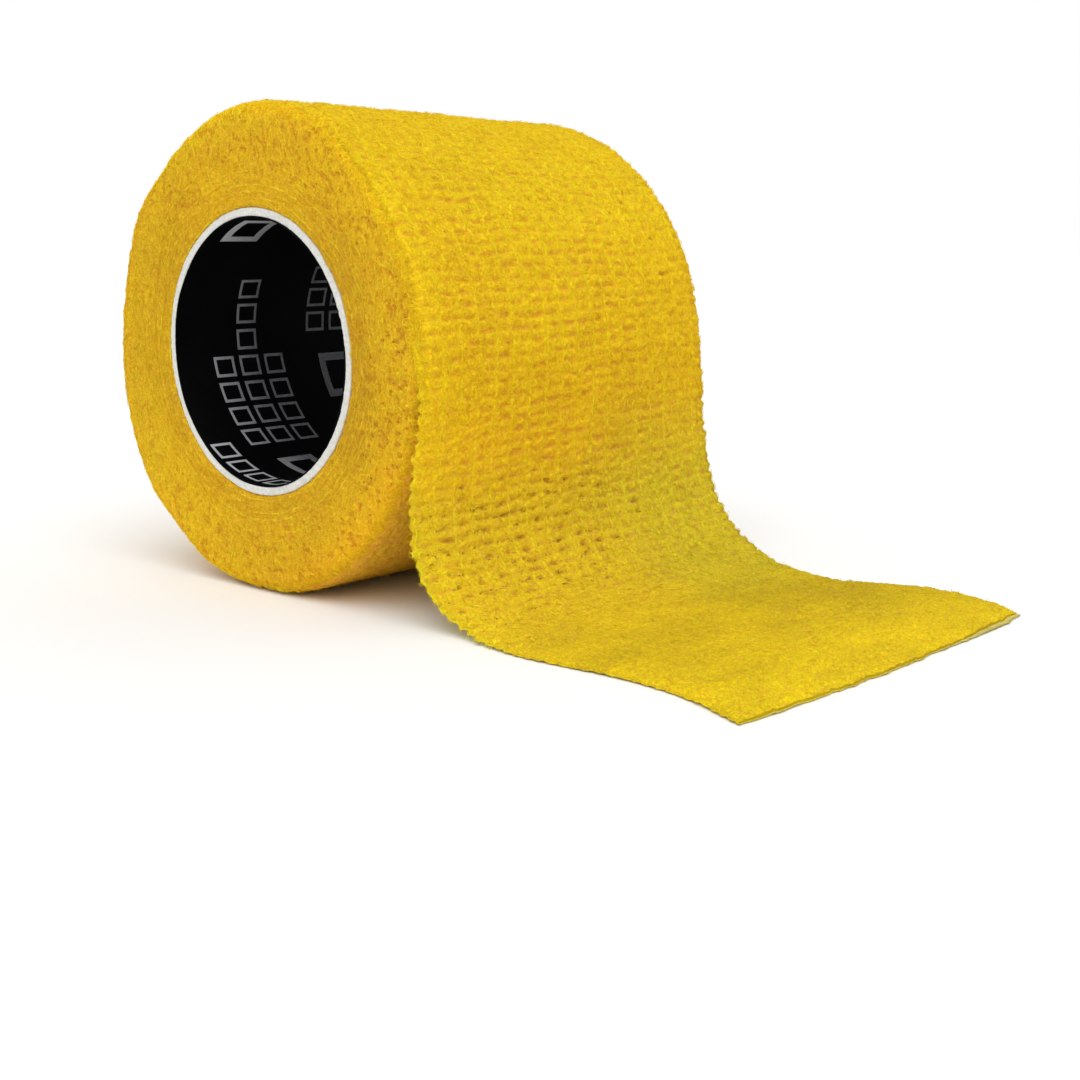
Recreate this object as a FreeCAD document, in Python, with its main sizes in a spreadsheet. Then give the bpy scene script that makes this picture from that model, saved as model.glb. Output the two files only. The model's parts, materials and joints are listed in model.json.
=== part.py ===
import FreeCAD, Part
import math
import os

# Roll of self-adherent elastic tape on a paperboard core.
# Millimetres.  Row frame: +Z up, the roll's axis along Y, origin on that axis
# midway between the two end faces.  The tape is wound clockwise seen from -Y,
# goes over the top, leaves the roll at +X, hangs down and lies along +X on the
# surface that the roll stands on.

os.makedirs("parts", exist_ok=True)
doc = FreeCAD.newDocument("tape_roll")

# ---------------------------------------------------------------- dimensions
sheet = doc.addObject("Spreadsheet::Sheet", "Dimensions")
DIMS = [
    ("tape_width", 50.8),          # width of the tape and length of the core
    ("web_thick", 0.25),           # each nonwoven web
    ("thread_thick", 0.15),        # elastic thread, radial
    ("thread_wide", 0.50),         # elastic thread, across the tape
    ("thread_count", 18),
    ("thread_pitch", 2.82),
    ("bond_gap", 0.05),            # web to thread, and turn to turn
    ("turn_pitch", 0.80),          # radial growth of one turn
    ("inner_turns", 13),           # whole turns under the outermost one
    ("bore_radius", 15.90),
    ("liner_thick", 0.15),
    ("ply_thick", 0.50),           # each of the two board plies
    ("core_clearance", 0.05),
    ("floor_level", -29.10),       # surface under the roll
    ("stand_angle", 30.0),         # where the outermost turn leaves the pack
    ("stand_fillet", 5.0),         # corner beside the flat
    ("peel_angle", 60.0),          # where the loose part of the turn begins
    ("leave_angle", 1.5),          # where the tape leaves the roll
    ("drop_length", 17.2),         # straight drop to the second bend line
    ("bend_radius", 10.0),         # drop to floor, measured on the back web
    ("floor_run", 16.5),           # flat run up to the tip's bend line
    ("tip_length", 18.5),
    ("hinge_gap", 0.05),
    ("peel_fold", 80.0),
    ("root_fold_in", 0.0),
    ("root_fold_out", 70.0),
    ("bend_fold_in", 60.0),
    ("bend_fold_out", 55.0),
    ("tip_fold_in", 60.0),
    ("tip_fold_out", 55.0),
]
for row, (alias, value) in enumerate(DIMS, start=1):
    sheet.set("A%d" % row, alias.replace("_", " "))
    sheet.set("B%d" % row, str(value))
    sheet.setAlias("B%d" % row, alias)
doc.recompute()


def dim(alias):
    return float(sheet.get(alias))


WIDTH = dim("tape_width")
WEB = dim("web_thick")
GAP = dim("bond_gap")
THREAD = dim("thread_thick")
PITCH = dim("turn_pitch")

# offsets of the three layers from the tape's back surface
BACK = (0.0, WEB)
THREADS = (WEB + GAP, WEB + GAP + THREAD)
FACE = (WEB + 2 * GAP + THREAD, 2 * WEB + 2 * GAP + THREAD)
THICK = FACE[1]
MID = THICK / 2.0

CORE_R = dim("bore_radius") + dim("liner_thick") + 2 * dim("ply_thick")
WIND_R = CORE_R + dim("core_clearance")

# ---------------------------------------------------------------- tape path
# A path is a start point, a heading and a list of runs: ("line", length) or
# ("arc", radius, turn), turn in radians, positive to the left of travel.  The
# tape's face side is on the left, so a turn to the right has its radius grow
# with the offset, and a turn to the left has it shrink.


def walk(start, heading, runs):
    """Runs with their start point, heading, and the final point and heading."""
    out = []
    x, z = start
    a = heading
    for run in runs:
        out.append(((x, z), a, run))
        if run[0] == "line":
            x += run[1] * math.cos(a)
            z += run[1] * math.sin(a)
        else:
            r, turn = run[1], run[2]
            sgn = 1.0 if turn > 0 else -1.0
            cx = x - sgn * r * math.sin(a)
            cz = z + sgn * r * math.cos(a)
            a2 = a + turn
            x = cx + sgn * r * math.sin(a2)
            z = cz - sgn * r * math.cos(a2)
            a = a2
    return out, (x, z), a


def shifted(pt, a, d):
    return (pt[0] - d * math.sin(a), pt[1] + d * math.cos(a))


def offset_runs(path, d, trim_start, trim_end):
    """The path at offset d, as sketch-ready lines and arcs."""
    res = []
    last = len(path) - 1
    for i, (pt, a, run) in enumerate(path):
        t0 = trim_start if i == 0 else 0.0
        t1 = trim_end if i == last else 0.0
        if run[0] == "line":
            p = shifted(pt, a, d)
            c, s = math.cos(a), math.sin(a)
            res.append(("line", (p[0] + t0 * c, p[1] + t0 * s),
                        (p[0] + (run[1] - t1) * c, p[1] + (run[1] - t1) * s)))
        else:
            r, turn = run[1], run[2]
            sgn = 1.0 if turn > 0 else -1.0
            cx = pt[0] - sgn * r * math.sin(a)
            cz = pt[1] + sgn * r * math.cos(a)
            rr = r - sgn * d
            a0 = a + sgn * t0 / rr
            a1 = a + turn - sgn * t1 / rr
            res.append(("arc", (cx, cz), rr, a0, a1, sgn))
    return res


def run_ends(item):
    if item[0] == "line":
        return item[1], item[2]
    _, (cx, cz), r, a0, a1, sgn = item
    return ((cx + sgn * r * math.sin(a0), cz - sgn * r * math.cos(a0)),
            (cx + sgn * r * math.sin(a1), cz - sgn * r * math.cos(a1)))


def sketch_item(item):
    V = FreeCAD.Vector
    if item[0] == "line":
        return Part.LineSegment(V(item[1][0], item[1][1], 0), V(item[2][0], item[2][1], 0))
    _, (cx, cz), r, a0, a1, sgn = item
    b0 = a0 - sgn * math.pi / 2.0
    b1 = a1 - sgn * math.pi / 2.0
    lo, hi = (b0, b1) if sgn > 0 else (b1, b0)
    circle = Part.Circle(V(cx, cz, 0), V(0, 0, 1), r)
    return Part.ArcOfCircle(circle, lo, hi)


def relief(fold_in, fold_out):
    """Clearance at a bend line: how far a layer's end stands back at offset d."""
    gap = dim("hinge_gap") / 2.0
    t_in = math.tan(math.radians(fold_in) / 2.0)
    t_out = math.tan(math.radians(fold_out) / 2.0)

    def back(d):
        if d >= MID:
            return gap + (d - MID) * t_out
        return gap + (MID - d) * t_in
    return back


def plain(d):
    return 0.0


# ---------------------------------------------------------------- builders
def origin_feature(body, role):
    for f in body.Origin.OriginFeatures:
        if f.Role == role:
            return f
    raise RuntimeError("no origin feature " + role)


NODES = []


def new_body(label):
    body = doc.addObject("PartDesign::Body", label)
    body.Label = label
    body.Placement = FreeCAD.Placement()
    NODES.append(body)
    return body


def band_outline(path, layer, start_back, end_back):
    d0, d1 = layer
    if d0 < MID < d1:
        s0 = s1 = max(start_back(d0), start_back(d1))
        e0 = e1 = max(end_back(d0), end_back(d1))
    else:
        s0, s1 = start_back(d0), start_back(d1)
        e0, e1 = end_back(d0), end_back(d1)
    outer = offset_runs(path, d1, s1, e1)
    inner = offset_runs(path, d0, s0, e0)
    geo = [sketch_item(i) for i in outer] + [sketch_item(i) for i in inner]
    V = FreeCAD.Vector
    o0, i0 = run_ends(outer[0])[0], run_ends(inner[0])[0]
    o1, i1 = run_ends(outer[-1])[1], run_ends(inner[-1])[1]
    geo.append(Part.LineSegment(V(i0[0], i0[1], 0), V(o0[0], o0[1], 0)))
    geo.append(Part.LineSegment(V(i1[0], i1[1], 0), V(o1[0], o1[1], 0)))
    return geo


def web(label, path, layer, start_back=plain, end_back=plain):
    """A web the full width of the tape."""
    body = new_body(label)
    sk = body.newObject("Sketcher::SketchObject", label + "_profile")
    sk.AttachmentSupport = [(origin_feature(body, "XZ_Plane"), "")]
    sk.MapMode = "FlatFace"
    sk.addGeometry(band_outline(path, layer, start_back, end_back), False)
    pad = body.newObject("PartDesign::Pad", label + "_pad")
    pad.Profile = sk
    pad.SideType = "Symmetric"
    pad.setExpression("Length", "Dimensions.tape_width * 1 mm")
    return body


def threads(label, path, start_back=plain, end_back=plain):
    """The row of elastic threads between the webs."""
    body = new_body(label)
    sk = body.newObject("Sketcher::SketchObject", label + "_profile")
    sk.AttachmentSupport = [(origin_feature(body, "XZ_Plane"), "")]
    sk.MapMode = "FlatFace"
    # the sketch faces -Y, so a positive offset starts the row at the -Y edge
    sk.setExpression("AttachmentOffset.Base.z",
                     "Dimensions.thread_pitch * (Dimensions.thread_count - 1) / 2 * 1 mm")
    sk.addGeometry(band_outline(path, THREADS, start_back, end_back), False)
    pad = body.newObject("PartDesign::Pad", label + "_pad")
    pad.Profile = sk
    pad.SideType = "Symmetric"
    pad.setExpression("Length", "Dimensions.thread_wide * 1 mm")
    doc.recompute()
    row = body.newObject("PartDesign::LinearPattern", label + "_row")
    row.Originals = [pad]
    row.Direction = (origin_feature(body, "Y_Axis"), [""])
    row.setExpression("Length", "Dimensions.thread_pitch * (Dimensions.thread_count - 1) * 1 mm")
    row.setExpression("Occurrences", "Dimensions.thread_count")
    body.Tip = row
    return body


def tube(label, inner_expr, outer_expr):
    """A board or paper layer of the core."""
    body = new_body(label)
    sk = body.newObject("Sketcher::SketchObject", label + "_profile")
    sk.AttachmentSupport = [(origin_feature(body, "XZ_Plane"), "")]
    sk.MapMode = "FlatFace"
    V = FreeCAD.Vector
    import Sketcher
    for k, expr in enumerate((outer_expr, inner_expr)):
        g = sk.addGeometry(Part.Circle(V(0, 0, 0), V(0, 0, 1), 10.0 + 5 * (1 - k)), False)
        sk.addConstraint(Sketcher.Constraint("Coincident", g, 3, -1, 1))
        c = sk.addConstraint(Sketcher.Constraint("Radius", g, 10.0 + 5 * (1 - k)))
        sk.setExpression("Constraints[%d]" % c, expr)
    pad = body.newObject("PartDesign::Pad", label + "_pad")
    pad.Profile = sk
    pad.SideType = "Symmetric"
    pad.setExpression("Length", "Dimensions.tape_width * 1 mm")
    return body


# ---------------------------------------------------------------- the core
tube("core_printed_liner",
     "Dimensions.bore_radius * 1 mm",
     "(Dimensions.bore_radius + Dimensions.liner_thick) * 1 mm")
tube("core_inner_board_ply",
     "(Dimensions.bore_radius + Dimensions.liner_thick) * 1 mm",
     "(Dimensions.bore_radius + Dimensions.liner_thick + Dimensions.ply_thick) * 1 mm")
tube("core_outer_board_ply",
     "(Dimensions.bore_radius + Dimensions.liner_thick + Dimensions.ply_thick) * 1 mm",
     "(Dimensions.bore_radius + Dimensions.liner_thick + 2 * Dimensions.ply_thick) * 1 mm")

# ---------------------------------------------------------------- the winding
# Half turns about two centres a half pitch apart make a smooth spiral.
HALF = PITCH / 2.0
n_inner = int(round(dim("inner_turns"))) * 2
spiral = [("arc", WIND_R + HALF / 2.0 + k * HALF, -math.pi) for k in range(n_inner)]
wound, end_pt, end_a = walk((WIND_R, 0.0), -math.pi / 2.0, spiral)
web("wound_back_web", wound, BACK)
threads("wound_elastic_threads", wound)
web("wound_face_web", wound, FACE)

# The outermost turn: round, then straight to the flat that the roll stands on,
# then round again up the far side and over the top to the peel line.
r_out = WIND_R + HALF / 2.0 + n_inner * HALF
stand = math.radians(dim("stand_angle"))
flat_z = -dim("floor_level") - THICK            # depth of the back surface there
half_flat = (r_out - flat_z * math.cos(stand)) / math.sin(stand)
leg = math.sqrt(max(0.0, half_flat ** 2 + flat_z ** 2 - r_out ** 2))
cut = dim("stand_fillet") * math.tan(stand / 2.0)
peel = math.radians(dim("peel_angle"))
leave = math.radians(dim("leave_angle"))
outer_runs = [
    ("arc", r_out, -(math.pi / 2.0 - stand)),
    ("line", leg - cut),
    ("arc", dim("stand_fillet"), -stand),
    ("line", 2.0 * (half_flat - cut)),
    ("arc", dim("stand_fillet"), -stand),
    ("line", leg - cut),
    ("arc", r_out, -(math.pi / 2.0 - stand)),
    ("arc", r_out + HALF, -(math.pi - peel)),
]
outer, peel_pt, peel_a = walk(end_pt, end_a, outer_runs)
at_peel = relief(0.0, dim("peel_fold"))
web("outer_wrap_back_web", outer, BACK, plain, at_peel)
threads("outer_wrap_elastic_threads", outer, plain, at_peel)
web("outer_wrap_face_web", outer, FACE, plain, at_peel)

# ---------------------------------------------------------------- the tail
at_root = relief(dim("root_fold_in"), dim("root_fold_out"))
at_bend = relief(dim("bend_fold_in"), dim("bend_fold_out"))
at_tip = relief(dim("tip_fold_in"), dim("tip_fold_out"))

loose, root_pt, root_a = walk(peel_pt, peel_a, [("arc", r_out + HALF, -(peel - leave))])
drop, bend_pt, bend_a = walk(root_pt, root_a, [("line", dim("drop_length"))])
to_floor = bend_pt[1] - dim("floor_level")
turn = math.pi / 2.0 - leave
short = (to_floor - dim("bend_radius") * (1.0 - math.cos(turn))) / math.cos(leave)
bend, tip_pt, tip_a = walk(bend_pt, bend_a, [
    ("line", short),
    ("arc", dim("bend_radius"), turn),
    ("line", dim("floor_run")),
])
tip, end_pt2, end_a2 = walk(tip_pt, tip_a, [("line", dim("tip_length"))])

for name, path, s_back, e_back in (
        ("loose_wrap", loose, at_peel, at_root),
        ("tail_drop", drop, at_root, at_bend),
        ("tail_floor", bend, at_bend, at_tip),
        ("tail_tip", tip, at_tip, plain)):
    web(name + "_back_web", path, BACK, s_back, e_back)
    threads(name + "_elastic_threads", path, s_back, e_back)
    web(name + "_face_web", path, FACE, s_back, e_back)

doc.recompute()

# ---------------------------------------------------------------- bend lines
for name, pt, a in (("peel_line", peel_pt, peel_a), ("root_line", root_pt, root_a),
                    ("bend_line", bend_pt, bend_a), ("tip_line", tip_pt, tip_a)):
    q = shifted(pt, a, MID)
    print("%s x %.4f z %.4f heading %.2f" % (name, q[0], q[1], math.degrees(a)))
print("tail end x %.3f z %.3f" % end_pt2)
print("flat half width %.3f, outermost turn back radius %.3f" % (half_flat - cut, r_out))


def run_length(path, d):
    total = 0.0
    for _, _, run in path:
        if run[0] == "line":
            total += run[1]
        else:
            sgn = 1.0 if run[2] > 0 else -1.0
            total += (run[1] - sgn * d) * abs(run[2])
    return total


for name, path in (("wound", wound), ("outer", outer), ("loose", loose),
                   ("drop", drop), ("bend", bend), ("tip", tip)):
    print("length %s %.1f" % (name, run_length(path, MID)))

# ---------------------------------------------------------------- checks
for obj in doc.Objects:
    bad = [s for s in obj.State if s in ("Invalid", "Error")]
    if bad:
        raise RuntimeError("%s is %s" % (obj.Label, bad))
volumes = {}
for body in NODES:
    shape = body.Shape
    if shape.isNull() or not shape.isValid() or not shape.Solids:
        raise RuntimeError("bad shape " + body.Label)
    volumes[body.Label] = shape.Volume
    want = int(round(dim("thread_count"))) if "threads" in body.Label else 1
    if len(shape.Solids) != want:
        raise RuntimeError("%s has %d solids" % (body.Label, len(shape.Solids)))
for name, path in (("wound", wound), ("outer_wrap", outer), ("loose_wrap", loose),
                   ("tail_drop", drop), ("tail_floor", bend), ("tail_tip", tip)):
    for part_name, layer in (("_back_web", BACK), ("_face_web", FACE)):
        expect = run_length(path, sum(layer) / 2.0) * WEB * WIDTH
        got = volumes[name + part_name]
        if abs(got - expect) > 0.05 * expect:
            raise RuntimeError("%s%s volume %.1f, expected %.1f" % (name, part_name, got, expect))

for body in NODES:
    body.Shape.exportStep("parts/%s.step" % body.Label)
print("wrote %d nodes" % len(NODES))
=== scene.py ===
import json
import math

import bpy
import numpy as np
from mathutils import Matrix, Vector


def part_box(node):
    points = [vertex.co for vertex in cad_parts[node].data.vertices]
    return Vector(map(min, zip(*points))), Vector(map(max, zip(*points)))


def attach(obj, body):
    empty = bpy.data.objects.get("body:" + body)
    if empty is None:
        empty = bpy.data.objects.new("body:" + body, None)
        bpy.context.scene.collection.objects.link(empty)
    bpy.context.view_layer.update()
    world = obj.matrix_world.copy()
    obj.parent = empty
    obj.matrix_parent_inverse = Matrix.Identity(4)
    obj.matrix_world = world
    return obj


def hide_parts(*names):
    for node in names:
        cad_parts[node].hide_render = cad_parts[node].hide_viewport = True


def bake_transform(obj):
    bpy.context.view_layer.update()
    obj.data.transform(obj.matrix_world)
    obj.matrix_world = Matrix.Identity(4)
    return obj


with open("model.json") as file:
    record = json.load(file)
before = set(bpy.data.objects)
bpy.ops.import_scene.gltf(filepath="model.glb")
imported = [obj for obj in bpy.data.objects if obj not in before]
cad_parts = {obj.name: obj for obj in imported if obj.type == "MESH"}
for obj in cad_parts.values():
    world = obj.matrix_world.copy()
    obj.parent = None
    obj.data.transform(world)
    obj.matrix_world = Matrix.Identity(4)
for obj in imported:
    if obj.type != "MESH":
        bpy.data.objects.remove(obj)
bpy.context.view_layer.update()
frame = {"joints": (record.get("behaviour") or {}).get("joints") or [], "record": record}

# ------------------------------------------------------------------ the frame
# Lengths below are in millimetres and turn to metres when a mesh is made.
MM = 0.001
JOINTS = {j["name"]: j for j in frame["joints"]}
RECORD = frame["record"]


def joint_at(name):
    p = JOINTS[name]["pos_m"]
    return np.array([p[0], p[1], p[2]]) * 1000.0


def node_box(name):
    lo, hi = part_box(name)
    return np.array(lo) * 1000.0, np.array(hi) * 1000.0


PEEL = joint_at("wrap_peel")
ROOT = joint_at("tail_root_bend")
BEND = joint_at("tail_floor_bend")
TIP = joint_at("tail_tip_bend")
HALF_W = node_box("wound_face_web")[1][1]                 # half the tape's width
FLOOR = node_box("tail_floor_back_web")[0][2]              # the surface it stands on
CORE_IN = [m for m in RECORD["mounts"] if m["name"] == "core_bore"][0]["dims"]["r_mm"]
CORE_OUT = node_box("core_outer_board_ply")[1][0]
THICK = 0.75
TURN = 0.80

rng = np.random.RandomState(7)


# ------------------------------------------------------------------ noise
def _lattice(seed, n=256):
    return np.random.RandomState(seed).rand(n, n) * 2.0 - 1.0


_LAT = {}


def vnoise(x, y, seed):
    """Smooth noise from -1 to 1 over unit cells."""
    if seed not in _LAT:
        _LAT[seed] = _lattice(seed)
    g = _LAT[seed]
    xi = np.floor(x).astype(int)
    yi = np.floor(y).astype(int)
    fx = x - xi
    fy = y - yi
    fx = fx * fx * fx * (fx * (fx * 6 - 15) + 10)
    fy = fy * fy * fy * (fy * (fy * 6 - 15) + 10)
    a = g[xi % 256, yi % 256]
    b = g[(xi + 1) % 256, yi % 256]
    c = g[xi % 256, (yi + 1) % 256]
    d = g[(xi + 1) % 256, (yi + 1) % 256]
    return (a * (1 - fx) + b * fx) * (1 - fy) + (c * (1 - fx) + d * fx) * fy


def fbm(x, y, seed, octaves=3, gain=0.55):
    total, amp, norm = 0.0, 1.0, 0.0
    c, s = math.cos(0.6), math.sin(0.6)
    for k in range(octaves):
        total = total + amp * vnoise(x + 17.3 * k, y - 9.1 * k, seed + k)
        norm += amp
        amp *= gain
        x, y = (c * x - s * y) * 2.03, (s * x + c * y) * 2.03
    return total / norm


def step(a, b, x):
    t = np.clip((x - a) / (b - a), 0, 1)
    return t * t * (3 - 2 * t)


def smooth_table(xs, ys, at, blur):
    """A table read by straight lines and then blurred."""
    xs, ys = np.asarray(xs, float), np.asarray(ys, float)
    fine = np.arange(xs[0] - 8 * blur, xs[-1] + 8 * blur, blur / 6.0)
    v = np.interp(fine, xs, ys)
    k = np.arange(-18, 19) / 6.0
    w = np.exp(-0.5 * k * k)
    w /= w.sum()
    v = np.convolve(np.pad(v, 18, mode="edge"), w, mode="valid")
    return np.interp(at, fine, v)


# ------------------------------------------------------------------ mesh helper
def make_mesh(name, verts, faces, attributes=None, smooth=True, flat_faces=(), materials=()):
    """verts (N,3) in mm; faces is a list of (M,k) arrays with the same k in each."""
    me = bpy.data.meshes.new(name)
    verts = np.asarray(verts, np.float64) * MM
    me.vertices.add(len(verts))
    me.vertices.foreach_set("co", verts.astype(np.float32).ravel())
    sizes = np.concatenate([np.full(len(f), f.shape[1], np.int32) for f in faces])
    loops = np.concatenate([f.ravel() for f in faces]).astype(np.int32)
    me.loops.add(len(loops))
    me.loops.foreach_set("vertex_index", loops)
    me.polygons.add(len(sizes))
    starts = np.concatenate([[0], np.cumsum(sizes)[:-1]]).astype(np.int32)
    me.polygons.foreach_set("loop_start", starts)
    me.polygons.foreach_set("use_smooth", np.full(len(sizes), bool(smooth)))
    me.update(calc_edges=True)
    if attributes:
        for key, val in attributes.items():
            val = np.asarray(val)
            kind = "FLOAT_VECTOR" if val.ndim == 2 else "FLOAT"
            at = me.attributes.new(key, kind, "POINT")
            at.data.foreach_set("vector" if val.ndim == 2 else "value", val.astype(np.float32).ravel())
    bad = me.validate(verbose=False)
    if bad:
        print("mesh repaired:", name)
    for m in materials:
        me.materials.append(m)
    ob = bpy.data.objects.new(name, me)
    bpy.context.scene.collection.objects.link(ob)
    return ob


def sharp_between(ob, group_of_face):
    """Marks the edges between faces of different groups sharp."""
    me = ob.data
    n = len(me.loops)
    le = np.empty(n, np.int32)
    me.loops.foreach_get("edge_index", le)
    tot = np.empty(len(me.polygons), np.int32)
    me.polygons.foreach_get("loop_total", tot)
    fg = np.repeat(np.asarray(group_of_face), tot)
    lo = np.full(len(me.edges), 10 ** 6)
    hi = np.full(len(me.edges), -1)
    np.minimum.at(lo, le, fg)
    np.maximum.at(hi, le, fg)
    sharp = (lo != hi)
    at = me.attributes.get("sharp_edge") or me.attributes.new("sharp_edge", "BOOLEAN", "EDGE")
    at.data.foreach_set("value", sharp)


# ------------------------------------------------------------------ materials
def new_material(name):
    m = bpy.data.materials.new(name)
    m.use_nodes = True
    nt = m.node_tree
    nt.nodes.clear()
    out = nt.nodes.new("ShaderNodeOutputMaterial")
    bsdf = nt.nodes.new("ShaderNodeBsdfPrincipled")
    nt.links.new(bsdf.outputs[0], out.inputs[0])
    return m, nt, bsdf


def attr(nt, name):
    n = nt.nodes.new("ShaderNodeAttribute")
    n.attribute_name = name
    return n


def math_node(nt, op, a, b=None, clamp=False):
    n = nt.nodes.new("ShaderNodeMath")
    n.operation = op
    n.use_clamp = clamp
    for i, v in enumerate((a, b)):
        if v is None:
            continue
        if isinstance(v, (int, float)):
            n.inputs[i].default_value = v
        else:
            nt.links.new(v, n.inputs[i])
    return n.outputs[0]


def mix_color(nt, fac, a, b):
    n = nt.nodes.new("ShaderNodeMix")
    n.data_type = "RGBA"
    sock = [s for s in n.inputs if s.type == "RGBA"]
    if isinstance(fac, (int, float)):
        n.inputs[0].default_value = fac
    else:
        nt.links.new(fac, n.inputs[0])
    for s, v in zip(sock, (a, b)):
        if isinstance(v, tuple):
            s.default_value = (*v, 1.0)
        else:
            nt.links.new(v, s)
    return [o for o in n.outputs if o.type == "RGBA"][0]


def noise_node(nt, vec, scale, detail=3.0, rough=0.6, distortion=0.0):
    n = nt.nodes.new("ShaderNodeTexNoise")
    n.inputs["Scale"].default_value = scale
    n.inputs["Detail"].default_value = detail
    n.inputs["Roughness"].default_value = rough
    n.inputs["Distortion"].default_value = distortion
    nt.links.new(vec, n.inputs["Vector"])
    return n.outputs["Fac"]


def remap(nt, v, a, b, c, d):
    n = nt.nodes.new("ShaderNodeMapRange")
    n.clamp = True
    nt.links.new(v, n.inputs[0])
    for i, x in enumerate((a, b, c, d)):
        n.inputs[i + 1].default_value = x
    return n.outputs[0]


def scaled(nt, vec, x, y, z):
    n = nt.nodes.new("ShaderNodeVectorMath")
    n.operation = "MULTIPLY"
    nt.links.new(vec, n.inputs[0])
    n.inputs[1].default_value = (x, y, z)
    return n.outputs[0]


def strands(nt, vec, scale, width, distortion, detail=1.0):
    """Thin curling lines: where a distorted noise passes through its middle value."""
    n = noise_node(nt, vec, scale, detail, 0.5, distortion)
    off = math_node(nt, "ABSOLUTE", math_node(nt, "SUBTRACT", n, 0.5))
    return remap(nt, off, 0.0, width, 1.0, 0.0)


def tape_material(name, base, orange, hole, light, grain=1.0, strand=1.0, lines=None):
    """Creped nonwoven: colour follows the pits, threads and a fine fibre noise in the tape's own coordinates; the
    orange pits, the dark holes and crevices and the shade attribute are painted shade and light.
    """
    m, nt, bsdf = new_material(name)
    uv = attr(nt, "tape_uv").outputs["Vector"]          # (along, across, 0) in millimetres
    shade = attr(nt, "shade").outputs["Vector"]
    pit = attr(nt, "pit").outputs["Fac"]
    dark = attr(nt, "hole").outputs["Fac"]
    thread = attr(nt, "thread").outputs["Fac"]
    flat = scaled(nt, uv, 1.0, 0.62, 1.0)
    fine = noise_node(nt, flat, 2.0, 3.0, 0.62, 0.7)
    grit = noise_node(nt, uv, 3.6, 2.0, 0.6, 0.3)
    blotch = noise_node(nt, uv, 0.28, 3.0, 0.55)
    curl_a = strands(nt, uv, 1.25, 0.020, 2.2)
    curl_b = strands(nt, scaled(nt, uv, 1.0, 0.8, 1.0), 2.1, 0.034, 1.6)
    curl = math_node(nt, "MAXIMUM", curl_a, math_node(nt, "MULTIPLY", curl_b, 0.8))
    # the pits' edges are broken up by the fibres
    ragged = math_node(nt, "ADD", pit, math_node(nt, "MULTIPLY", math_node(nt, "SUBTRACT", fine, 0.5), 1.1))
    pitted = math_node(nt, "MULTIPLY", remap(nt, ragged, 0.12, 0.62, 0.0, 1.0), remap(nt, pit, 0.02, 0.2, 0.0, 1.0))
    worn = tuple(x * y for x, y in zip(base, (0.95, 0.88, 1.1)))
    c = mix_color(nt, remap(nt, blotch, 0.35, 0.7, 0.0, 0.6), base, worn)
    c = mix_color(nt, remap(nt, fine, 0.36, 0.52, 0.60 * grain, 0.0), c, orange)
    c = mix_color(nt, remap(nt, grit, 0.34, 0.46, 0.60 * grain, 0.0), c, orange)
    c = mix_color(nt, remap(nt, grit, 0.54, 0.66, 0.0, 0.60 * grain), c, light)
    # painted shade: the pits are tinted orange for the warm shade inside them
    c = mix_color(nt, math_node(nt, "MULTIPLY", pitted, 0.72), c, orange)
    # painted shade: the holes are darkened to brown for the shade inside them
    c = mix_color(nt, remap(nt, dark, 0.12, 1.0, 0.0, 0.95), c, hole)
    c = mix_color(nt, math_node(nt, "MULTIPLY", curl, 0.50 * strand, True), c, light)
    if lines:
        # fine crevices between the fibres darkened as painted shade, and the elastic threads as thin broken lines
        crack = strands(nt, scaled(nt, uv, 1.0, 0.7, 1.0), 1.7, 0.022, 2.6)
        c = mix_color(nt, math_node(nt, "MULTIPLY", math_node(nt, "MULTIPLY", crack, thread), 0.55, True), c, tuple(0.70 * q for q in orange))
        # painted shade: dark brown specks where the holes are
        speck = remap(nt, noise_node(nt, scaled(nt, uv, 1.3, 0.8, 1.0), 1.45, 2.0, 0.6, 0.5), 0.60, 0.66, 0.0, 0.80)
        c = mix_color(nt, math_node(nt, "MULTIPLY", speck, remap(nt, dark, 0.03, 0.12, 0.0, 1.0)), c, hole)
        turn = attr(nt, "across").outputs["Fac"]
        off = math_node(nt, "ABSOLUTE", math_node(nt, "SUBTRACT", math_node(nt, "FRACT", math_node(nt, "ADD", turn, 0.5)), 0.5))
        thread = math_node(nt, "MULTIPLY", thread, remap(nt, off, lines[0], lines[1], 1.0, 0.0))
    broken = math_node(nt, "MULTIPLY", thread, remap(nt, noise_node(nt, uv, 0.9, 2.0, 0.6), 0.40, 0.56, 0.10, 1.0))
    c = mix_color(nt, math_node(nt, "MULTIPLY", broken, 1.25, True), c, light)
    # multiply in the shade attribute: the painted light and shade of each region
    mul = nt.nodes.new("ShaderNodeMix")
    mul.data_type = "RGBA"
    mul.blend_type = "MULTIPLY"
    mul.inputs[0].default_value = 1.0
    rgba = [q for q in mul.inputs if q.type == "RGBA"]
    nt.links.new(c, rgba[0])
    nt.links.new(shade, rgba[1])
    nt.links.new([o for o in mul.outputs if o.type == "RGBA"][0], bsdf.inputs["Base Color"])
    bsdf.inputs["Roughness"].default_value = 0.85
    bsdf.inputs["Specular IOR Level"].default_value = 0.06
    bsdf.inputs["Specular Tint"].default_value = (1.0, 0.80, 0.30, 1.0)
    bsdf.inputs["Sheen Weight"].default_value = 0.06
    bsdf.inputs["Sheen Roughness"].default_value = 0.5
    bsdf.inputs["Sheen Tint"].default_value = (1.0, 0.80, 0.10, 1.0)
    height = math_node(nt, "ADD", math_node(nt, "MULTIPLY", fine, 0.9), math_node(nt, "MULTIPLY", curl, 0.30))
    height = math_node(nt, "ADD", height, math_node(nt, "MULTIPLY", grit, 0.35))
    bump = nt.nodes.new("ShaderNodeBump")
    bump.inputs["Strength"].default_value = 0.85
    bump.inputs["Distance"].default_value = 0.00030
    nt.links.new(height, bump.inputs["Height"])
    nt.links.new(bump.outputs[0], bsdf.inputs["Normal"])
    return m


# ORANGE is the tape's deeper orange in the fine speckle and the painted shade in the pits and crevices; HOLE is the
# painted shade inside the holes
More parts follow.
